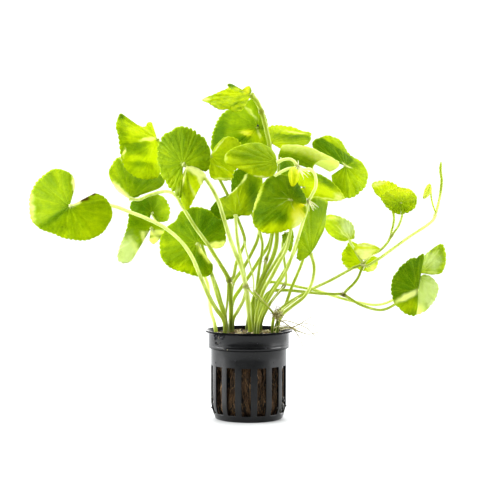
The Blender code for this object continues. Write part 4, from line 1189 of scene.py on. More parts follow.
@dataclass
class Stalk:
    """A petiole, stem or runner that follows points on the front elevation.

    Its radius goes from foot to top, and its tone from low_tone to tone and then to end_tone: 0 is green, 1
    pale, and less than 0 olive. Joints are counted in the route's points. A height of None is the top of
    the growing plug. Its solid's name follows from its own, unless node gives it or is None for no solid.
    It runs on to the blade at the place hub, which its name gives if it isn't stated. Lengths are in
    millimetres.
    """

    name: str
    foot: float
    top: float
    route: tuple[tuple[float, float | None, float], ...]
    node: str | None = ""
    joints: tuple[float, ...] = ()
    tone: float = 0.4
    low_tone: float = 0.05
    end_tone: float | None = None
    brown: float = 0.6
    hub: str = ""
    tip: bool = False
    plug_top: float = 48.6
    sides: int = 12
    step: float = 1.1

    def path(self, hub: Triple | None) -> Array:
        """Turn the route into points in metres, with the blade's hub last if there is one."""
        points = []
        for x, z, y in self.route:
            point = SIGHT.place(x, SIGHT.height if z is None else z, y)
            if z is None:
                point[2] = self.plug_top * MM
            points.append(point)
        if hub:
            x, z, y = hub
            points.append(SIGHT.place(x, z, y + 0.25))
        return np.array(points)

    def build(self, material: Material, hubs: dict[str, Triple]) -> None:
        """Build the stalk as a tapered tube that ends at its blade's hub, and fix it to the plant."""
        hub = hubs.get(self.hub or self.name.rpartition("_")[0])
        points = self.path(hub)
        length = np.linalg.norm(np.diff(points, axis=0), axis=1).sum() / MM
        rings = max(8, round(length / self.step))
        centre, spots = even_path(points, rings)
        seed = sum(ord(letter) for letter in self.name)
        share = spots / (len(points) - 1)
        run = np.linspace(0, length, rings)
        joint = np.zeros(rings)
        for place in self.joints:
            joint = np.maximum(joint, np.exp(-(((run - np.interp(place, spots, run)) / 1.5) ** 2)))
        radius = self.foot + (self.top - self.foot) * share**0.8
        radius = radius * (1 + 0.05 * ripple(run, 0, 11, seed)) * (1 + 0.45 * joint)
        if hub:
            radius = radius * (1 + 0.5 * soft_step(length - 3, length, run))
        if self.tip:
            radius = radius * (1 - 0.45 * soft_step(length - 2.5, length, run))
        turn = ring_turns(self.sides)
        rings_of_points = tube(centre, np.outer(radius, 1 + 0.06 * np.cos(2 * turn)), (0.15, 1, 0.1))
        way = unit(np.gradient(centre, axis=0)) * radius[:, None] * 0.4 * MM
        ends = [centre[0] - way[0], centre[-1] + way[-1]]
        tone = self.low_tone + (self.tone - self.low_tone) * soft_step(0.05, 0.6, share)
        if self.end_tone is not None:
            tone = tone + (self.end_tone - tone) * soft_step(0.58, 0.97, run / length)
        # Below 66 mm, at the pot's mouth under the leaves, the tone drops by up to 1 towards olive as
        # painted shade.
        tone = tone + 0.15 * ripple(run, 0, 17, seed + 1) - soft_step(66, 50, centre[:, 2] / MM)
        # Three pale and dark lines run along the stalk: they stand in for its ridges and for painted
        # highlights.
        ridges_and_highlights = 0.16 * np.tile(np.cos(3 * turn + seed), rings)
        values = {
            "tone": np.concatenate([np.repeat(tone, self.sides) + ridges_and_highlights, tone[[0, -1]]]),
            "joint": self.brown * np.concatenate([np.repeat(joint, self.sides), joint[[0, -1]]]),
        }
        faces = ring_faces(rings, self.sides) + pointed_ends(rings, self.sides)
        piece = add_mesh(self.name, np.vstack([rings_of_points, ends]), faces, material, values)
        nodes = () if self.node is None else (self.node or solid_name(self.name),)
        settle(piece, "stem", *nodes)


# Every petiole, stem and runner with its route.
STALKS = (
    Stalk("far_left_petiole", 1.3, 0.95, tone=0.95, route=(
        (-13.6, None, -5), (-15.1, 59.6, -5), (-19.6, 66.2, -5), (-23.7, 73.2, -5), (-29.2, 85.8, -6),
        (-34.4, 98, -7), (-41, 107.5, -9), (-51, 116, -12), (-63, 122, -15), (-73.4, 126, -17),
        (-82.6, 129.2, -19), (-98, 131, -23),
    )),
    Stalk("tall_left_petiole", 1.2, 0.9, tone=0.15, route=(
        (-13.5, None, 8), (-14.6, 62.6, 7), (-17.1, 71.2, 7), (-19.6, 79.8, 8), (-22.6, 87.8, 10),
        (-25.5, 96, 15), (-30, 110, 23), (-36, 125, 28), (-42, 140, 30), (-49, 155, 29),
    )),
    Stalk("lower_left_stem", 1.4, 0.85, joints=(3,), tone=0.45, low_tone=-0.25, route=(
        (-11.3, None, 2), (-10.8, 65.2, 2), (-11.1, 72.7, 1), (-12, 83.8, 0), (-17.1, 93.4, -2),
        (-20.6, 99, -2), (-25, 106, -1), (-33, 117, 0), (-40, 128.5, 2), (-44, 135.2, 4), (-50, 138, 9),
        (-60, 135.8, 13), (-66.5, 133, 14.5),
    )),
    Stalk("low_left_petiole", 1.15, 1, tone=0.3, route=(
        (-12.8, None, -1.5), (-14.2, 60.1, -1.3), (-16.8, 67.7, -1), (-20.1, 77.8, 1), (-22.6, 87.3, 5),
        (-26.2, 96.6, 11),
    )),
    Stalk("upper_middle_petiole", 1, 0.8, tone=0.1, route=(
        (-11.6, 84.2, 1), (-9.2, 86.6, 3.5), (-7.6, 94.4, 5), (-4.5, 102, 5), (-2.5, 109, 4), (-7, 122, 4),
        (-13, 136, 4), (-20, 150, 5),
    )),
    Stalk("round_left_stem", 1.5, 1, joints=(3,), tone=0.6, low_tone=0.55, route=(
        (1.2, None, -3), (0.7, 57.6, -3), (-0.2, 67.7, -3), (-1.9, 80.5, -2), (-5, 92.9, -5),
        (-8, 100.4, -7), (-11.6, 110, -10), (-15, 121, -13), (-18.6, 132.4, -15), (-24.6, 143.5, -17),
        (-31, 150.2, -19),
    )),
    Stalk("folded_centre_petiole", 1, 0.9, tone=0.6, route=(
        (-2.6, 82.8, -0.4), (-2.4, 85.2, 1.2), (-3.4, 90.8, 1.5), (-4.7, 96.9, 0), (-6.2, 104, -2),
        (-7.4, 113, -5),
    )),
    Stalk("mid_left_petiole", 1.2, 0.8, tone=0.7, low_tone=1.2, route=(
        (-19.3, None, 3), (-21.1, 58.6, 5), (-23.1, 64.7, 7), (-24.2, 72.7, 9), (-25.5, 83, 12),
        (-31, 92, 18), (-42, 104, 27), (-53, 115.5, 34),
    )),
    Stalk("hanging_left_petiole", 0.8, 0.8, low_tone=0.2, tone=0.6, route=(
        (-44.4, 106.2, 28.6), (-46.1, 107.1, 27.9), (-51, 108.8, 29), (-55.4, 111.4, 28.5),
    )),
    Stalk("upper_back_petiole", 1.2, 0.8, tone=0.15, route=(
        (-10.4, None, 9), (-10.6, 60, 10), (-10.8, 74, 10), (-9.6, 82.2, 10.5), (-6, 87.8, 11),
        (-2.5, 92.9, 12), (2.6, 102.5, 13), (5.6, 110, 15), (8, 125, 19), (7.5, 145, 24), (6.5, 165, 26),
    )),
    Stalk("upper_right_petiole", 1.2, 0.8, tone=0.2, route=(
        (-10, None, 14.5), (-11, 62, 15), (-9.5, 71.7, 15), (-4.5, 79.8, 16), (1.6, 88.8, 17),
        (6.6, 96.9, 18), (12.6, 107, 19), (14.5, 120, 23), (14.3, 137, 29), (13.4, 155, 34),
    )),
    Stalk("dark_back_petiole", 1, 0.8, tone=0.25, route=(
        (3.5, None, 7.5), (3.5, 62, 7), (4.5, 75, 7), (5.6, 85.3, 7), (6.6, 92.9, 7.5), (7.9, 100.4, 8),
        (8, 108, 9), (4.5, 119, 12), (-1, 130, 15.5),
    )),
    Stalk("rolled_petiole", 0.95, 0.75, joints=(4,), tone=0.1, route=(
        (5.6, None, 12.5), (6.2, 65, 12.5), (7.8, 80, 12.5), (9.2, 90, 12.5), (10.6, 96.9, 12.5),
        (12.6, 102.5, 12), (14.2, 110, 11.5), (17.3, 128, 8.8), (18, 150, 4.4), (18.6, 160.4, 2.2),
    )),
    Stalk("top_petiole", 1.1, 1.35, joints=(11,), tone=0, low_tone=0.15, brown=0.4, route=(
        (2.8, None, 1.5), (2.6, 62.6, 1.5), (3.2, 72.7, 1.5), (6.6, 81.8, 2), (9.6, 88.8, 2),
        (14.7, 98.5, 3), (17, 110, 4), (15.5, 130, 5), (13.6, 150, 6), (12.6, 165, 7), (10.6, 175, 8),
        (7.6, 186, 9.5), (4.6, 192.6, 10),
    )),
    Stalk("front_centre_petiole", 1.15, 0.9, tone=0.45, route=(
        (3.8, None, -7), (4.7, 62.6, -6), (6.8, 71.7, -5), (9.4, 78.8, -5), (13.6, 85.8, -5),
        (18.7, 95.4, -6), (22.6, 102.5, -9), (24.6, 110, -14), (26, 119, -23), (26.2, 127, -29),
    )),
    Stalk("small_back_petiole", 0.9, 0.7, joints=(4,), tone=0.3, low_tone=-0.4, route=(
        (6.8, None, 0), (7.8, 59, 0), (11.6, 67.7, 1), (15.7, 73.7, 2), (21.2, 80.3, 4), (22.7, 84.5, 5),
        (22.2, 91, 7), (21.2, 98.5, 11), (20.4, 106, 13.5),
    )),
    Stalk("aerial_runner", 0.9, 0.85, joints=(10, 16), tone=0.85, hub="centre", route=(
        (5.2, None, -12.5), (6, 58, -11.8), (9.4, 67.5, -10.5), (14.6, 77, -10.5), (20.2, 85.4, -12),
        (23.7, 92, -14), (26.4, 99.4, -16), (29.3, 108, -19), (32.4, 118, -22), (35, 126, -24),
        (36.3, 132.2, -25), (38, 135.4, -27), (40.6, 141, -29), (40.3, 147.6, -31), (37.2, 151.4, -33),
        (33.4, 151.2, -35), (29.6, 153, -37), (27, 156.6, -38), (22.8, 157.6, -38.5),
    )),
    Stalk("round_right_petiole", 0.9, 0.8, tone=0.3, route=(
        (4.8, None, 6.5), (5.8, 60, 7), (8.6, 69, 8), (13.8, 78, 10), (19.6, 86.6, 11), (24.4, 95, 13),
        (28.2, 102, 15), (33, 111, 18), (40, 122, 22), (48, 134, 26), (55, 146, 27),
    )),
    Stalk("under_round_petiole", 0.95, 0.8, tone=0.25, low_tone=-0.1, route=(
        (14.6, None, 4.5), (18.7, 62.6, 5), (22.7, 70.2, 5), (25.9, 79.3, 6), (29.5, 87.8, 6),
        (32.8, 96.5, 7), (35, 108, 9), (36.4, 121, 10), (36.8, 133, 8),
    )),
    Stalk("long_right_petiole", 1, 0.9, tone=0.35, low_tone=0.3, route=(
        (16.2, None, -9.5), (19.2, 61.1, -8.5), (25.7, 67.7, -8.5), (32.8, 73.2, -9.5), (37, 79.3, -10),
        (39.3, 86.3, -9.5), (39.6, 92.9, -8.5),
    )),
    Stalk("right_runner", 0.95, 0.65, joints=(9, 13), tone=0.45, brown=0.3, hub="yellow_front", route=(
        (14, None, -1.5), (15, 60.1, -2.5), (18.2, 65.2, -3), (23.7, 70, -3), (30.8, 74.3, -3),
        (38.3, 78.6, -3), (49.3, 83.8, -2), (57, 88, -1), (64.3, 92, 0), (69.3, 94.2, 0), (74.6, 99.3, -1),
        (79.4, 102, -2.5), (83.8, 106.4, -6), (86.6, 111.2, -9), (90.9, 117.2, -9), (93, 124, -9),
    )),
    Stalk("yellow_back_petiole", 0.7, 0.7, low_tone=0.2, tone=0.1, route=(
        (86.4, 111.6, -8), (86.6, 114, -5.5), (87.6, 117.4, -4), (88, 123, -1),
    )),
    Stalk("right_mid_petiole", 0.8, 0.7, low_tone=0.2, tone=0.5, route=(
        (69.4, 94.6, 0.4), (68, 96.4, 2), (66, 99.5, 3.5), (63.6, 104, 8), (61.9, 106.4, 10.5),
    )),
    Stalk("tip_runner", 0.85, 0.8, joints=(7,), low_tone=0.5, tone=0.95, brown=0.12, tip=True,
          end_tone=-0.05, route=(
        (70.2, 93.4, -0.4), (72, 92.9, -1.5), (79.4, 97.4, -3), (85.8, 102, -4), (97.4, 110.4, -6),
        (106.4, 116.3, -8), (111.6, 120.4, -10), (113, 123.4, -10), (114.4, 128.2, -10), (116, 135.6, -11),
        (116.9, 144.6, -12), (116.1, 150.6, -12), (116.4, 155.6, -12),
    )),
    Stalk("low_runner", 1, 0.7, joints=(8,), tone=0.2, brown=0.95, hub="far_right", route=(
        (6, None, 16), (7, 62, 16), (8.5, 71, 16), (12.6, 76.9, 15), (20.7, 78, 12), (30.8, 77.3, 8),
        (40.9, 76.2, 4), (51.1, 75.6, 0.5), (57.7, 75.1, -1), (67.3, 69.4, -3.5), (77, 66.2, -7),
        (83, 66.4, -10), (89, 69.4, -12.5), (97, 74.4, -14),
    )),
    Stalk("second_low_runner", 0.9, 0.7, node="runner_low_second", tone=0.7, hub="far_right_lower", route=(
        (-2, None, 17), (1, 68, 19), (5.6, 78.5, 19), (12.6, 82.8, 18), (20.7, 82, 16), (30.8, 79.9, 12),
        (40.9, 77.8, 8.5), (50, 75, 6), (58, 72.6, 4.5), (67.3, 70.4, 2.5), (77, 69, 0), (85.4, 70.9, -1),
        (95, 77, -1.5), (101, 82, -3),
    )),
    Stalk("second_hidden_stem", 1, 0.9, node=None, tone=0.3, route=(
        (3.6, None, 3), (4.6, 66, 3), (6.4, 76, 2), (9.6, 84, 1), (14.2, 92, 1), (19.8, 101, 1),
        (23.4, 108, 0), (25.4, 114, -6), (26.6, 121, -20),
    )),
    Stalk("thin_side_stem", 0.45, 0.5, node=None, tone=0.7, low_tone=0.7, route=(
        (3, 76, -1), (2.9, 83, -1), (2, 89.2, 0), (-0.2, 97, 1), (-1.8, 103, 2.5), (-2.5, 109, 4),
    )),
    Stalk("hidden_stem", 1.1, 0.9, node=None, tone=0.5, route=(
        (-10, None, 6), (-9.6, 59.6, 5), (-6.6, 65.6, 4), (-3.4, 71.6, 2), (-1.8, 77, 0),
    )),
    Stalk("cream_bud_stub", 0.75, 0.85, node=None, tone=1.3, low_tone=0.9, route=(
        (29.2, 152.4, -37), (27, 152.2, -39), (23.9, 151.7, -41), (19.4, 149.7, -42), (15.8, 147.4, -42.4),
    )),
    Stalk("rooting_strand", 0.6, 0.6, node=None, joints=(0, 4), tone=-0.35, low_tone=-0.35, brown=0.75,
          route=(
        (-0.6, 79.6, -5), (1.6, 76.6, -9), (6, 72.6, -13), (11.4, 68, -15), (15.7, 63, -15),
        (17.4, 60, -13), (17.6, 56.5, -11), (16.6, None, -10),
    )),
    Stalk("rooting_shoot", 0.6, 0.6, node=None, tone=0.5, low_tone=0.5, route=(
        (15.9, 63, -15), (19.6, 65.6, -11), (25, 69.6, -6), (30, 73.4, -4),
    )),
    Stalk("twin_strand", 0.7, 0.55, node=None, tone=0, route=(
        (-15.4, None, -2), (-14.6, 60, -2), (-13.4, 68, -1.6), (-12.9, 74, -1.2), (-12.6, 82, -0.8),
    )),
    Stalk("runner_branch_piece", 0.8, 0.75, node="runner_branch", tone=-0.1, route=(
        (57.9, 75.4, -1), (59.2, 77.6, -1.5), (63.4, 81.6, -1), (66.4, 85.6, -0.5), (68.4, 90.6, -0.5),
        (69.6, 93.6, -0.2),
    )),
)


@dataclass
class Bud:
    """A small drooping young leaf: a thin stalk that opens into a pleated folded blade.

    Its waist is the share of the route at which it opens, pale is how cream it is, and flat its depth as a
    share of its width.
    """

    name: str
    radius: float
    waist: float
    pale: float
    route: tuple[Triple, ...]
    stem: float = 0.48
    pleats: int = 7
    flat: float = 0.72
    rings: int = 46
    sides: int = 40

    def build(self, material: Material) -> None:
        """Build the bud and fix it to the plant."""
        points = SIGHT.place(*np.array(self.route, float).T)
        centre, _ = even_path(points, self.rings)
        share = np.linspace(0, 1, self.rings)
        body = np.clip((share - self.waist) / (1 - self.waist), 0, 1)
        size = self.stem + self.radius * np.sin(math.pi * body**0.75) ** 0.8 * (body > 0)
        size[-1] = 0.08
        waves = np.cos(self.pleats * ring_turns(self.sides))
        pleat = 1 + 0.16 * waves[None, :] * soft_step(0.1, 0.5, body)[:, None]
        rings_of_points = tube(centre, size[:, None] * pleat, (0.1, 1, 0.1), self.flat)
        swell, wave = np.repeat(body, self.sides), np.tile(waves, self.rings)
        yellow_share = 0.66 * (0.95 - self.pale) * soft_step(0.0, 0.3, swell)
        # wave is 1 on the pleats' ridges and -1 in their creases: the tone is lighter on the ridges and
        # darker in the creases, which also take some brown, as painted highlight and painted shade.
        values = {
            "tone": 0.8 + 0.3 * wave * swell,
            "cream": 0.35 * (1 - swell) + self.pale * swell,
            "yellow": yellow_share * (0.75 + 0.25 * wave),
            "brown": 0.4 * soft_step(0.85, 1.0, swell) + 0.12 * swell * soft_step(-0.3, -0.9, wave),
            "around": np.tile(np.linspace(0, self.pleats, self.sides), self.rings),
            "out": 0.9 * swell,
            "relief": 0.4 * soft_step(0.05, 0.4, swell),
            "reach": 2, "seed": 3, "under": 0,
        }
        faces = ring_faces(self.rings, self.sides) + flat_ends(self.rings, self.sides)
        piece = add_mesh(self.name, rings_of_points, faces, material, values)
        settle(piece, "bud", solid_name(self.name))


BUDS = (
    Bud("aerial_bud", 2.5, 0.24, 0.05, (
        (29.2, 152.6, -37.6), (27, 151.9, -41), (27, 149.6, -42), (27.2, 146.2, -42.5), (26.4, 140.8, -42),
    )),
    Bud("tip_bud", 1.5, 0.64, 0.5, (
        (113.6, 124.6, -10.4), (111.8, 129.2, -11.4), (110.6, 134.5, -12), (110.2, 140.4, -12),
        (109.6, 141.6, -12.2), (108.9, 139.6, -12.4), (107.8, 136.8, -12.4), (105.8, 133.6, -12.5),
    )),
)


@dataclass
class NetPot:
    """The slotted nursery pot: a turned shell with rounded edges, open slots and a rolled rim.

    Each radius is the outside's: of the base, the heel above it, the body, the upper band and the rim. The
    slots' first middle is at slot_turn, in degrees from the front.
    """

    wall: float = 1.1
    base_r: float = 20.7
    heel_r: float = 21.8
    body_r: float = 23.05
    band_r: float = 24.6
    rim_r: float = 26.6
    height: float = 54.1
    slots: int = 15
    slot_share: float = 14 / 24
    slot_turn: float = -4.0
    slot_foot: float = 4.0
    slot_top: float = 32.7
    straight_from: float = 10.5
    base_slot: tuple[float, float] = (9.0, 16.5)
    edge: float = 0.22

    def meridian(self) -> list[tuple[tuple[float, float], tuple[float, float], bool]]:
        """List pairs of outer and inner points up the wall, and whether a slot starts there.

        Returns:
            Each pair, with True where the stretch up to the next pair is cut by the slots.
        """
        w, body, band, rim = self.wall, self.body_r, self.band_r, self.rim_r
        base = ((3, False), (self.base_slot[0], True), (12.8, True), (self.base_slot[1], False))
        steps = [((r, 0.0), (r, w), cut) for r, cut in base]
        steps.append(((self.base_r - 0.7, 0.05), (self.base_r - w - 0.3, w), False))
        steps.append(((self.base_r, 0.7), (self.base_r - w, w + 0.6), False))
        for k in range(5):
            z = self.slot_foot + k * (self.straight_from - self.slot_foot) / 5
            r = self.heel_r + (body - self.heel_r) * math.sin(k / 5 * math.pi / 2)
            steps.append(((r, z), (r - w, z), True))
        for k in range(9):
            z = self.straight_from + k * (self.slot_top - self.straight_from) / 8
            steps.append(((body, z), (body - w, z), k < 8))
        above = (
            (body, 0, 37.0, 0, 37.5), (body, 0, 42.6, 0, 43.0), (body, 0.1, 42.95, 0.2, 43.6),
            (band, -0.2, 43.15, -0.2, 44.2), (band, 0.04, 43.5, 0, 44.6), (band, 0.04, 44.6, 0, 45.2),
            (band, 0, 44.9, 0, 45.6), (band, 0.03, 45.4, 0, 46.2), (band, 0, 46.6, 0, 47.2),
            (band, 0, 51.4, 0, 50.2), (band, 0.3, 52.4, 0.05, 51.4),
        )
        steps += [((r + out, z), (r - w + off, up), False) for r, out, z, off, up in above]
        lip = (
            (-0.5, 52.8, band - w + 0.4, 52.5), (0.05, 53.1, rim - 1.4, 53.5),
            (0.1, 53.8, rim - 0.7, self.height),
        )
        return steps + [((rim + out, z), (r, up), False) for out, z, r, up in lip]

    def columns(self) -> tuple[Array, list[bool]]:
        """Share out the points round the pot: their turns from the front, and whether each starts a gap.

        Returns:
            The turns in radians, and True where a slot is open after the column.
        """
        in_slot, in_rib = 7, 5
        pitch = FULL_TURN / self.slots
        half = self.slot_share * pitch / 2
        turns: list[float] = []
        for k in range(self.slots):
            middle = math.radians(self.slot_turn) + k * pitch
            turns += [middle - half + 2 * half * j / in_slot for j in range(in_slot)]
            turns += [middle + half + (pitch - 2 * half) * j / in_rib for j in range(in_rib)]
        return np.array(turns), ([True] * in_slot + [False] * in_rib) * self.slots

    def faces(self, cut: list[bool], is_open: list[bool]) -> Faces:
        """List the faces of both sides of the wall, the base's middle, the rim and the slots' edges.

        Args:
            cut: Whether the slots cut each stretch of the wall, from the base up.
            is_open: Whether a slot is open after each column.

        Returns:
            The faces.
        """
        columns, top = len(is_open), len(cut) - 1
        at = 2 + np.arange(2 * len(cut) * columns).reshape(len(cut), 2, columns)
        faces: Faces = []
        for c in range(columns):
            d = (c + 1) % columns
            faces += [(0, at[0, 0, d], at[0, 0, c]), (1, at[0, 1, c], at[0, 1, d])]
            for a in range(top):
                b = a + 1
                if not (is_open[c] and cut[a]):
                    faces.append((at[a, 0, c], at[a, 0, d], at[b, 0, d], at[b, 0, c]))
                    faces.append((at[a, 1, d], at[a, 1, c], at[b, 1, c], at[b, 1, d]))
                    continue
                if not is_open[c - 1]:
                    faces.append((at[a, 0, c], at[a, 1, c], at[b, 1, c], at[b, 0, c]))
                if not is_open[d]:
                    faces.append((at[a, 1, d], at[a, 0, d], at[b, 0, d], at[b, 1, d]))
                if a == 0 or not cut[a - 1]:
                    faces.append((at[a, 0, c], at[a, 0, d], at[a, 1, d], at[a, 1, c]))
                if not cut[b]:
                    faces.append((at[b, 0, d], at[b, 0, c], at[b, 1, c], at[b, 1, d]))
            faces.append((at[top, 0, c], at[top, 0, d], at[top, 1, d], at[top, 1, c]))
        return faces

    def build(self, material: Material) -> None:
        """Build the pot, its gloss off inside, on the lip and under the band, and fix it to the plant."""
        steps = self.meridian()
        turns, is_open = self.columns()
        rows = [round_pot(r, turns, z) for outer, inner, _ in steps for r, z in (outer, inner)]
        points = np.vstack([[[0, 0, 0], [0, 0, self.wall]], *rows]) * MM
        inside = np.zeros((len(steps), 2, len(turns)))
        inside[:, 1] = 1
        inside[-2:] = 1
        under_band = [k for k, ((_, z), _, _) in enumerate(steps) if 42.8 < z < 43.3]
        inside[under_band, 0] = 1
        values = {"inside": np.concatenate([[0, 1], inside.ravel()])}
        faces = self.faces([cut for _, _, cut in steps], is_open)
        piece = add_mesh("net_pot", points, faces, material, values)
        edges = piece.modifiers.new("soft_edges", "BEVEL")
        edges.width = self.edge * MM
        edges.segments = 2
        edges.limit_method = "ANGLE"
        edges.angle_limit = math.radians(50)
        piece.data.set_sharp_from_angle(angle=math.radians(40))
        settle(piece, "pot", "pot")


@dataclass
class Strands:
    """Many fine strands made as one mesh of thin tapered tubes."""

    sides: int = 4
    points: list[Array] = field(default_factory=list)
    faces: Faces = field(default_factory=list)
    tones: list[Array] = field(default_factory=list)
    count: int = 0

    def add(self, path: Array, radii: Array | float, tone: float) -> None:
        """Add one strand.

        Args:
            path: Its points in metres.
            radii: Its radius in millimetres, or its radius at each point.
            tone: Its shade from 0 to 1.
        """
        guide = (0.31, 0.52, 0.79)
        if abs(unit(path[1] - path[0]) @ guide) >= 0.9:
            guide = (1, 0, 0)
        rings = len(path)
        self.points.append(tube(path, np.broadcast_to(radii, (self.sides, rings)).T, guide))
        self.faces += ring_faces(rings, self.sides, self.count) + flat_ends(rings, self.sides, self.count)
        self.tones.append(np.full(rings * self.sides, tone))
        self.count += rings * self.sides

    def trail(self, route: tuple[Triple, ...], radius: float, tone: float, step: float = 1.2) -> None:
        """Add one long tapering strand along a route on the elevation.

        Args:
            route: Its points x, z and y in millimetres.
            radius: Its radius at the start, in millimetres.
            tone: Its shade from 0 to 1.
            step: The distance between its rings.
        """
        points = SIGHT.place(*np.array(route, float).T)
        count = max(8, int(np.linalg.norm(np.diff(points, axis=0), axis=1).sum() / MM / step))
        self.add(even_path(points, count)[0], radius * np.linspace(1, 0.5, count), tone)

    def build(self, name: str, material: Material) -> None:
        """Join the strands into one piece and fix it to the plant."""
        values = {"tone": np.concatenate(self.tones)}
        settle(add_mesh(name, np.vstack(self.points), self.faces, material, values), "growing_medium")


@dataclass
class GrowingPlug:
    """The plug of fibrous medium: a lumpy body and its fibres.

    Each hollow has its turn from the front and half width in degrees, its depth, and the height from which
    the medium has fallen back.
    """

    radius: float = 21.1
    top_radius: float = 22.9
    foot: float = 1.8
    shoulder: float = 43.6
    top: float = 51.6
    around: int = 210
    levels: int = 74
    hollows: tuple[tuple[float, float, float, float], ...] = (
        (37, 9, 5.0, 12), (7, 3.5, 3.0, 2), (-16, 2.5, 2.0, 2), (-38, 2.5, 2.0, 2), (-62, 4, 2.5, 2),
        (24, 2.2, 1.8, 20), (60, 3, 1.6, 2), (110, 8, 3.0, 10), (130, 5, 3.0, 2), (170, 9, 4.5, 14),
        (-150, 4, 3.0, 2), (-120, 8, 4.0, 8), (-90, 4, 2.5, 2),
    )

    def side_r(self, z: Array) -> Array:
        """Give the plug's radius at a height."""
        heel = 18.7 + (self.radius - 18.7) * soft_step(self.foot, 9.0, z)
        upper = soft_step(self.shoulder - 1.2, self.shoulder + 0.6, z)
        return heel + (self.top_radius - self.radius) * upper

    def hollow(self, turn: Array, z: Array) -> Array:
        """Say how far the medium has fallen back from the wall.

        Args:
            turn: Turns from the front, in radians.
            z: Heights in millimetres.

        Returns:
            Depths in millimetres.
        """
        total = np.zeros(np.broadcast(turn, z).shape)
        for middle, wide, deep, low in self.hollows:
            off = (np.degrees(turn) - middle + 180) % 360 - 180 + 2.0 * ripple(z, 0, 14, int(middle) + 400)
            inside = soft_step(low - 3, low + 2, z) * soft_step(45, 40, z)
            total = total + deep * np.exp(-((off / wide) ** 4)) * inside
        return total

    def lumps(self, turn: Array, z: Array) -> Array:
        """Give the height of the larger lumps on the side, between about -1 and 1."""
        return ripple(turn * 21, z * 0.35, 4.5, 21)

    def body(self, material: Material) -> None:
        """Build the lumpy body: its side from the foot up, then its top from the rim to the middle."""
        turn = ring_turns(self.around)
        zz, tt = np.meshgrid(np.linspace(self.foot, self.top - 1.4, self.levels), turn, indexing="ij")
        lumps = 0.7 * self.lumps(tt, zz) + 0.35 * ripple(tt * 21, zz * 0.5, 1.8, 22)
        r = self.side_r(zz) - 0.75 + np.clip(lumps, -1.6, 0.6) - self.hollow(tt, zz)
        rows = [round_pot(r, tt, zz)]
        for share in np.linspace(0.92, 0.06, 16):
            rr = r[-1] * share
            bumps = 0.5 * ripple(rr * np.sin(turn), rr * np.cos(turn), 4.0, 23)
            rows.append(round_pot(rr, turn, self.top - 1.4 * (share**6) + bumps * (1 - share**8))[None])
        grid = np.concatenate(rows)
        points = np.vstack([grid.reshape(-1, 3), [[0, 0, self.foot], [0, 0, self.top]]]) * MM
        faces = ring_faces(len(grid), self.around) + pointed_ends(len(grid), self.around)
        settle(add_mesh("plug_body", points, faces, material), "growing_medium", "growing_plug")

    def fibres(self, material: Material, on_side: int = 1900, on_top: int = 900) -> None:
        """Build the fibres that lie on the plug.

        Args:
            material: Their material.
            on_side: How many lie on its side.
            on_top: How many are tried on its top; those outside the pot are left out.
        """
        dice = np.random.default_rng(31)
        strands = Strands(sides=3)
        t = np.linspace(-0.5, 0.5, 6)
        for _ in range(on_side):
            turn, z = dice.uniform(0, FULL_TURN), dice.uniform(self.foot + 1, self.top - 3)
            tilt, length = dice.normal(0, 0.3), dice.uniform(3, 14)
            height = np.clip(z + t * length * math.cos(tilt), self.foot + 0.6, self.top - 0.8)
            curl = dice.uniform(-0.8, 0.8)
            angle = turn + (t * length * math.sin(tilt) + curl * t * t * 4) / self.radius
            sunk = self.hollow(angle, height) + np.clip(-0.7 * self.lumps(angle, height), -0.5, 1.4)
            r = self.side_r(height) - 0.65 - sunk + 0.35 * dice.uniform(-0.6, 1.0) * np.cos(t * math.pi)
            strands.add(round_pot(r, angle, height) * MM, dice.uniform(0.05, 0.16), dice.beta(1.4, 2.2))
        t = np.linspace(-0.5, 0.5, 5)
        for _ in range(on_top):
            x, y = dice.uniform(-22, 22, 2)
            if math.hypot(x, y) > 20.6:
                continue
            turn, length = dice.uniform(0, FULL_TURN), dice.uniform(2, 8)
            px = x + t * length * math.cos(turn)
            py = y + t * length * math.sin(turn)
            near = np.minimum(1, 22 / np.maximum(np.hypot(px, py), 1e-6))
            lift = self.top - 0.5 + dice.uniform(0, 1.4) * np.cos(t * math.pi) + dice.uniform(-0.3, 0.5)
            path = np.stack([px * near, py * near, lift], -1) * MM
            strands.add(path, dice.uniform(0.06, 0.2), dice.beta(1.5, 2.0))
        strands.build("plug_fibres", material)


@dataclass(frozen=True)
class Tuft:
    """A tuft of hairs at a place x, z and y, aimed along the elevation and fanned out by spread radians."""

    at: Triple
    aim: tuple[float, float]
    spread: float
    count: int
    reach: float
    seed: int
    tone: float = 1.0

    def grow(self, strands: Strands) -> None:
        """Add the tuft to some strands."""
        dice = np.random.default_rng(self.seed)
        middle = math.atan2(self.aim[1], self.aim[0])
        t = np.linspace(0, 1, 7)
        for _ in range(self.count):
            angle = middle + dice.normal(0, self.spread)
            length = self.reach * dice.uniform(0.5, 1.1)
            bend = dice.normal(0, 0.25)
            x = self.at[0] + length * t * np.cos(angle + bend * t)
            z = self.at[1] + length * t * np.sin(angle + bend * t)
            y = self.at[2] + dice.normal(0, 0.5) * length * t
            tone = self.tone * dice.uniform(0.75, 1.2)
            strands.add(SIGHT.place(x, z, y), 0.19 * (1 - 0.6 * t) + 0.03, tone)


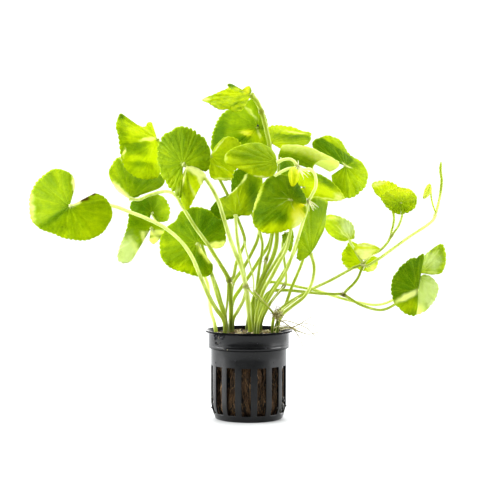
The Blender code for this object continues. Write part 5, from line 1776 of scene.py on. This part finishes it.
@dataclass
class FineRoots:
    """The white root hairs at the joints and the pale roots that trail over the rim.

    Each of the trails has its radius, its shade and its route.
    """

    tufts: tuple[Tuft, ...] = (
        Tuft((36.4, 132.6, -26), (0.5, -1), 0.35, 9, 7, 41),
        Tuft((30, 152.4, -38), (0.55, -1), 0.3, 9, 8, 42),
        Tuft((29.6, 153, -38), (-0.9, -0.6), 0.25, 3, 5, 43),
        Tuft((30, 153.4, -37), (0.1, 1), 0.4, 4, 3.5, 44),
        Tuft((57.4, 75.6, -2), (-0.6, 0.7), 0.6, 4, 1.8, 45, 0.3),
        Tuft((70.4, 93.6, -1.4), (-0.3, -1), 0.8, 10, 3.2, 46, 0.9),
        Tuft((-10.8, 82.8, -1.5), (0.9, -0.5), 0.35, 5, 3.2, 47, 0.6),
        Tuft((-0.6, 79.6, -6), (0.8, -0.9), 0.5, 7, 3.4, 48, 0.5),
        Tuft((10.4, 96.4, 4), (-0.9, -0.9), 0.5, 6, 3.2, 49, 0.45),
        Tuft((16.2, 63, -15.6), (-0.4, -0.8), 0.9, 20, 4.2, 50, 0.18),
        Tuft((16.2, 63, -15.4), (0.3, 0.9), 0.9, 12, 3.2, 51, 0.25),
    )
    trails: tuple[tuple[float, float, tuple[Triple, ...]], ...] = (
        (0.3, 0.45, ((21.5, 80.6, 2), (18.6, 77.6, -8), (15.2, 73, -13), (13, 68, -15))),
        (0.3, 0.3, ((3, 78, -7), (7.6, 73, -14.5), (11.4, 69, -16), (14.4, 65, -16))),
        (0.4, 0.05, ((16.4, 61, -15), (21, 58.6, -13), (25.7, 55.4, -10), (33.3, 51.8, -6), (38, 51.2, -4),
                     (43.4, 52.8, -2))),
        (0.36, 0.15, ((17, 58, -12), (22, 59.4, -9), (29, 57.6, -4), (36, 54.4, -2), (40.6, 49.6, 0))),
        (0.32, 0.15, ((18, 55.4, -8), (24, 55.6, -7), (28.6, 52.6, -5), (31.6, 47.5, -4), (33, 43.5, -3))),
        (0.32, 0.1, ((25, 55, -9), (30, 56.8, -7), (36.4, 60.6, -4), (39.4, 62, -3))),
        (0.5, 0.42, ((17.6, 54.4, -10), (21.6, 55.2, -8), (25.4, 54.6, -6), (28.6, 53.4, -5),
                     (31.4, 52.2, -4))),
        (0.42, 0.5, ((19, 53.6, -12), (22.8, 54.6, -10), (25.8, 54.9, -8), (29.6, 54.6, -6),
                     (34.4, 55.8, -5))),
        (0.3, 0.38, ((15, 54.6, -13), (19.6, 56.6, -11), (24, 56.2, -8), (27.8, 54.4, -6), (29.4, 50.6, -5),
                     (28.8, 45.6, -5))),
        (0.28, 0.15, ((24, 53.8, 2), (26.8, 55, 1), (31.4, 57.6, 0), (36.6, 57.4, 0), (44.4, 54.4, 1))),
    )

    @staticmethod
    def knot(strands: Strands, count: int = 38) -> None:
        """Add the tangle of short curling roots where the runner has rooted."""
        dice = np.random.default_rng(53)
        for _ in range(count):
            x, z, y = 17.4 + dice.normal(0, 1.5), 63.6 + dice.normal(0, 1.5), -15.6 + dice.normal(0, 0.7)
            turn, half = dice.uniform(0, FULL_TURN), dice.uniform(2.0, 5.0) / 2
            bent = turn + dice.uniform(-1.6, 1.6)
            x1, z1 = x + half * math.cos(turn), z + half * math.sin(turn)
            end = (x1 + half * math.cos(bent), z1 + half * math.sin(bent), y)
            route = ((x, z, y), (x1, z1, y - 0.4), end)
            strands.trail(route, dice.uniform(0.16, 0.34), dice.uniform(-0.25, 0.45))

    @staticmethod
    def loose(strands: Strands, count: int = 16) -> None:
        """Add the short loose roots that lie on top of the medium."""
        dice = np.random.default_rng(52)
        for _ in range(count):
            x, z, y = dice.uniform(-16, 18), dice.uniform(51.2, 53.0), dice.uniform(-18, 10)
            turn, length = dice.uniform(-0.6, 3.7), dice.uniform(4, 10)
            bend = (x + length * 0.4 * math.cos(turn), z + 0.15 * length, y - 1)
            end = (x + length * math.cos(turn + 0.5), z + 0.05 * length, y - 1)
            strands.trail(((x, z, y), bend, end), dice.uniform(0.1, 0.18), dice.uniform(0.1, 0.6))

    def build(self, material: Material) -> None:
        """Build every fine root as one piece."""
        strands = Strands(sides=5)
        for tuft in self.tufts:
            tuft.grow(strands)
        self.knot(strands)
        for radius, tone, route in self.trails:
            strands.trail(route, radius, tone)
        self.loose(strands)
        strands.build("fine_roots", material)


@dataclass
class Debris:
    """Crumbs of medium on the pot's rim and outside, on the plug, and one on the upper back leaf.

    Each group on the wall has its radius and shade, then each crumb's turn from the front in degrees, its
    height and its half size. The speck lies on the leaf, and the loose ones within plug_r of the middle.
    """

    on_wall: tuple[tuple[float, float, tuple[Triple, ...]], ...] = (
        (24.7, 0.0, (
            (-56, 51.2, 0.8), (-53, 50.4, 1), (-50, 51.3, 0.8), (-43, 51.2, 0.9), (-40, 50.7, 1.1),
            (-37, 51.3, 0.7), (-53, 47.2, 0.8), (-50, 46.6, 0.6), (-44, 47.6, 0.4), (-34, 44.2, 0.8),
            (24, 45, 0.3), (12, 48, 0.25),
        )),
        (24.75, 0.35, (
            (-47, 50.9, 0.45), (-46, 50, 0.3), (-48, 47.4, 0.25), (-31, 43.9, 0.3), (-37, 43.9, 0.25),
            (-58, 49, 0.2),
        )),
        (23.1, 0.0, (
            (-30, 38.4, 0.4), (-20, 37.5, 0.5), (15, 39, 0.25), (-60, 35, 0.4), (40, 36, 0.25), (2, 40, 0.3),
        )),
        (22.3, 0.12, (
            (62, 9.5, 1.4), (66, 7.4, 1.2), (70, 11.6, 0.9), (58, 6.2, 1), (76, 8.2, 0.9), (66, 13.4, 0.7),
            (50, 8, 0.6), (-78, 12.4, 1), (-74, 9.2, 0.8), (-82, 6.8, 0.8), (-70, 4.2, 0.7),
            (-84, 10.2, 0.7),
        )),
    )
    speck: Triple = (5.5, 177.8, 23.4)
    on_top: int = 260
    plug_r: float = 20.8
    rings: int = 7
    sides: int = 10

    def crumb(self, centre: Array, size: Array, seed: int) -> Array:
        """Give one rough crumb's points in metres, the two ends last.

        Args:
            centre: Its middle in millimetres.
            size: Its half sizes in millimetres.
            seed: Picks its lumps.

        Returns:
            The points, one a row.
        """
        levels = np.linspace(-1, 1, self.rings + 2)[1:-1] * math.pi / 2
        up, turn = np.meshgrid(levels, ring_turns(self.sides), indexing="ij")
        rough = 1 + 0.28 * ripple(turn * 2, up * 3, 1.9, seed)
        shape = np.stack([np.cos(up) * np.cos(turn), np.cos(up) * np.sin(turn), np.sin(up)], -1)
        points = (shape * rough[..., None]).reshape(-1, 3)
        return (np.vstack([points, [[0, 0, -1], [0, 0, 1]]]) * size + centre) * MM

    def build(self, material: Material) -> None:
        """Build all crumbs as one piece."""
        dice = np.random.default_rng(61)
        spots: list[tuple[Array, Array, float]] = []
        for r, shade, group in self.on_wall:
            for turn, z, size in group:
                wide, high = size * dice.uniform(0.7, 1.4), size * dice.uniform(0.6, 1.2)
                shape = np.array([wide, size * 0.6, high])
                spots.append((round_pot(r, math.radians(turn), z), shape, shade))
        spots.append((SIGHT.place(*self.speck) / MM, np.array([0.55, 0.35, 0.65]), 0.0))
        loose: list[tuple[Array, Array]] = []
        for _ in range(self.on_top):
            r, turn = self.plug_r * math.sqrt(dice.uniform(0, 1)), dice.uniform(0, FULL_TURN)
            size = dice.uniform(0.25, 1.1)
            z = dice.uniform(50.8, 52.4) - 0.7 * (r / self.plug_r) ** 4
            loose.append((round_pot(r, turn, z), size * dice.uniform(0.5, 1.3, 3)))
        spots += [(centre, size, dice.uniform(0, 1.3)) for centre, size in loose]
        count = self.rings * self.sides + 2
        one = ring_faces(self.rings, self.sides) + pointed_ends(self.rings, self.sides)
        faces = [tuple(number * count + i for i in face) for number in range(len(spots)) for face in one]
        points = [self.crumb(centre, size, 700 + number) for number, (centre, size, _) in enumerate(spots)]
        tones = np.repeat([shade for _, _, shade in spots], count)
        settle(add_mesh("crumbs", np.vstack(points), faces, material, {"tone": tones}), "growing_medium")


@dataclass(frozen=True)
class Lamp:
    """A square soft light: its place, the point that it faces, its side in metres and its watts."""

    name: str
    at: Triple
    aim: Triple
    size: float
    power: float

    def hang(self) -> None:
        """Put the light into the scene."""
        lamp = bpy.data.lights.new(self.name, "AREA")
        lamp.shape = "SQUARE"
        lamp.size = self.size
        lamp.energy = self.power
        hung = bpy.data.objects.new(self.name, lamp)
        hung.location = self.at
        hung.rotation_euler = (Vector(self.aim) - Vector(self.at)).to_track_quat("-Z", "Y").to_euler()
        bpy.context.scene.collection.objects.link(hung)


@dataclass
class Studio:
    """A plain pale floor, soft light all round, and the camera.

    The room's light is level, plus toward times the direction that it comes from, and never under least.
    Side, front and back are the floor's reach, in metres.
    """

    level: float = 1.6
    toward: Triple = (0.5, 2.35, 0.35)
    least: float = 0.04
    side: float = 0.6
    front: float = -0.26
    back: float = 0.7
    lamps: tuple[Lamp, ...] = (
        Lamp("key_above_left", (-0.75, -0.5, 0.85), (0, 0, 0.12), 0.5, 7.5),
        Lamp("left_softbox", (-1.0, 0.0, 0.3), (0, 0, 0.1), 0.6, 13.0),
        Lamp("right_softbox", (1.0, -0.1, 0.3), (0, 0, 0.1), 0.7, 8.0),
        Lamp("right_strip", (0.8, 0.58, 0.15), (0, 0, 0.03), 0.3, 3.0),
        Lamp("left_strip", (-0.8, 0.58, 0.15), (0, 0, 0.03), 0.3, 1.4),
    )

    def floor(self) -> None:
        """Build the pale floor."""
        s = Shader("studio_floor")
        tone = s.mix(s.ramp(s.noise(6, 2), 0.3, 0.7), (0.455, 0.465, 0.47), (0.475, 0.48, 0.485))
        paint = s.finish(s.principled(Base_Color=tone, Roughness=0.7))
        near, far, side = self.front, self.back, self.side
        corners = np.array([(-side, near, 0), (side, near, 0), (side, far, 0), (-side, far, 0)])
        add_mesh("floor", corners, [(0, 1, 2, 3)], paint)

    def room(self) -> None:
        """Light the room softly: bright behind and overhead, dim in front, and plain white to look at."""
        world = bpy.data.worlds.new("white_room")
        world.use_nodes = True
        sky = world.node_tree.nodes["Background"]
        w = Wiring(world.node_tree)
        axes = w.node("SeparateXYZ")
        w.feed(axes.inputs[0], w.node("TexCoord").outputs["Generated"])
        level: object = self.level
        for socket, gain in zip(axes.outputs, self.toward):
            level = w.math("MULTIPLY_ADD", socket, gain, level)
        seen = w.node("Mix", data_type="FLOAT")
        looked_at = w.node("LightPath").outputs["Is Camera Ray"]
        for index, value in ((0, looked_at), (2, w.math("MAXIMUM", level, self.least)), (3, 1.0)):
            w.feed(seen.inputs[index], value)
        w.feed(sky.inputs["Strength"], seen.outputs[0])
        w.feed(sky.inputs["Color"], (1, 1, 1))
        bpy.context.scene.world = world

    def camera(self) -> None:
        """Set up the camera at the eye."""
        camera = bpy.data.cameras.new("camera")
        camera.lens = SIGHT.lens
        camera.sensor_width = SIGHT.sensor
        camera.clip_start, camera.clip_end = 0.01, 20
        eye = bpy.data.objects.new("camera", camera)
        eye.location = (SIGHT.aside * MM, -SIGHT.distance * MM, SIGHT.height * MM)
        eye.rotation_euler = (math.radians(90 - SIGHT.tilt), 0, 0)
        bpy.context.scene.collection.objects.link(eye)
        bpy.context.scene.camera = eye

    def build(self) -> None:
        """Set up the floor, world, lights, colour handling and camera."""
        self.floor()
        self.room()
        for lamp in self.lamps:
            lamp.hang()
        bpy.context.scene.view_settings.view_transform = "Standard"
        bpy.context.scene.view_settings.look = "Medium High Contrast"
        self.camera()


COIR = FibreFinish("coir_fibre", (0.04, 0.022, 0.011), (0.42, 0.265, 0.125))
FINE_ROOT = FibreFinish("fine_root", (0.20, 0.17, 0.035), (0.90, 0.88, 0.56), 0.5)
CRUMB = FibreFinish("crumb", (0.004, 0.005, 0.009), (0.62, 0.54, 0.33), 0.4)


def main() -> None:
    """Build the studio, the pot and the plant in order."""
    Studio().build()
    leaf, stalk = LeafFinish().build(), StalkFinish().build()
    coir, root, crumb = COIR.build(), FINE_ROOT.build(), CRUMB.build()
    NetPot().build(PotFinish().build())
    plug = GrowingPlug()
    plug.body(PlugFinish().build())
    plug.fibres(coir)
    for blade in BLADES:
        blade.build(leaf)
    RolledLeaf().build(leaf)
    hubs = {blade.place: blade.hub for blade in BLADES}
    for one in STALKS:
        one.build(stalk, hubs)
    for bud in BUDS:
        bud.build(leaf)
    FineRoots().build(root)
    Debris().build(crumb)


if __name__ == "__main__":
    main()
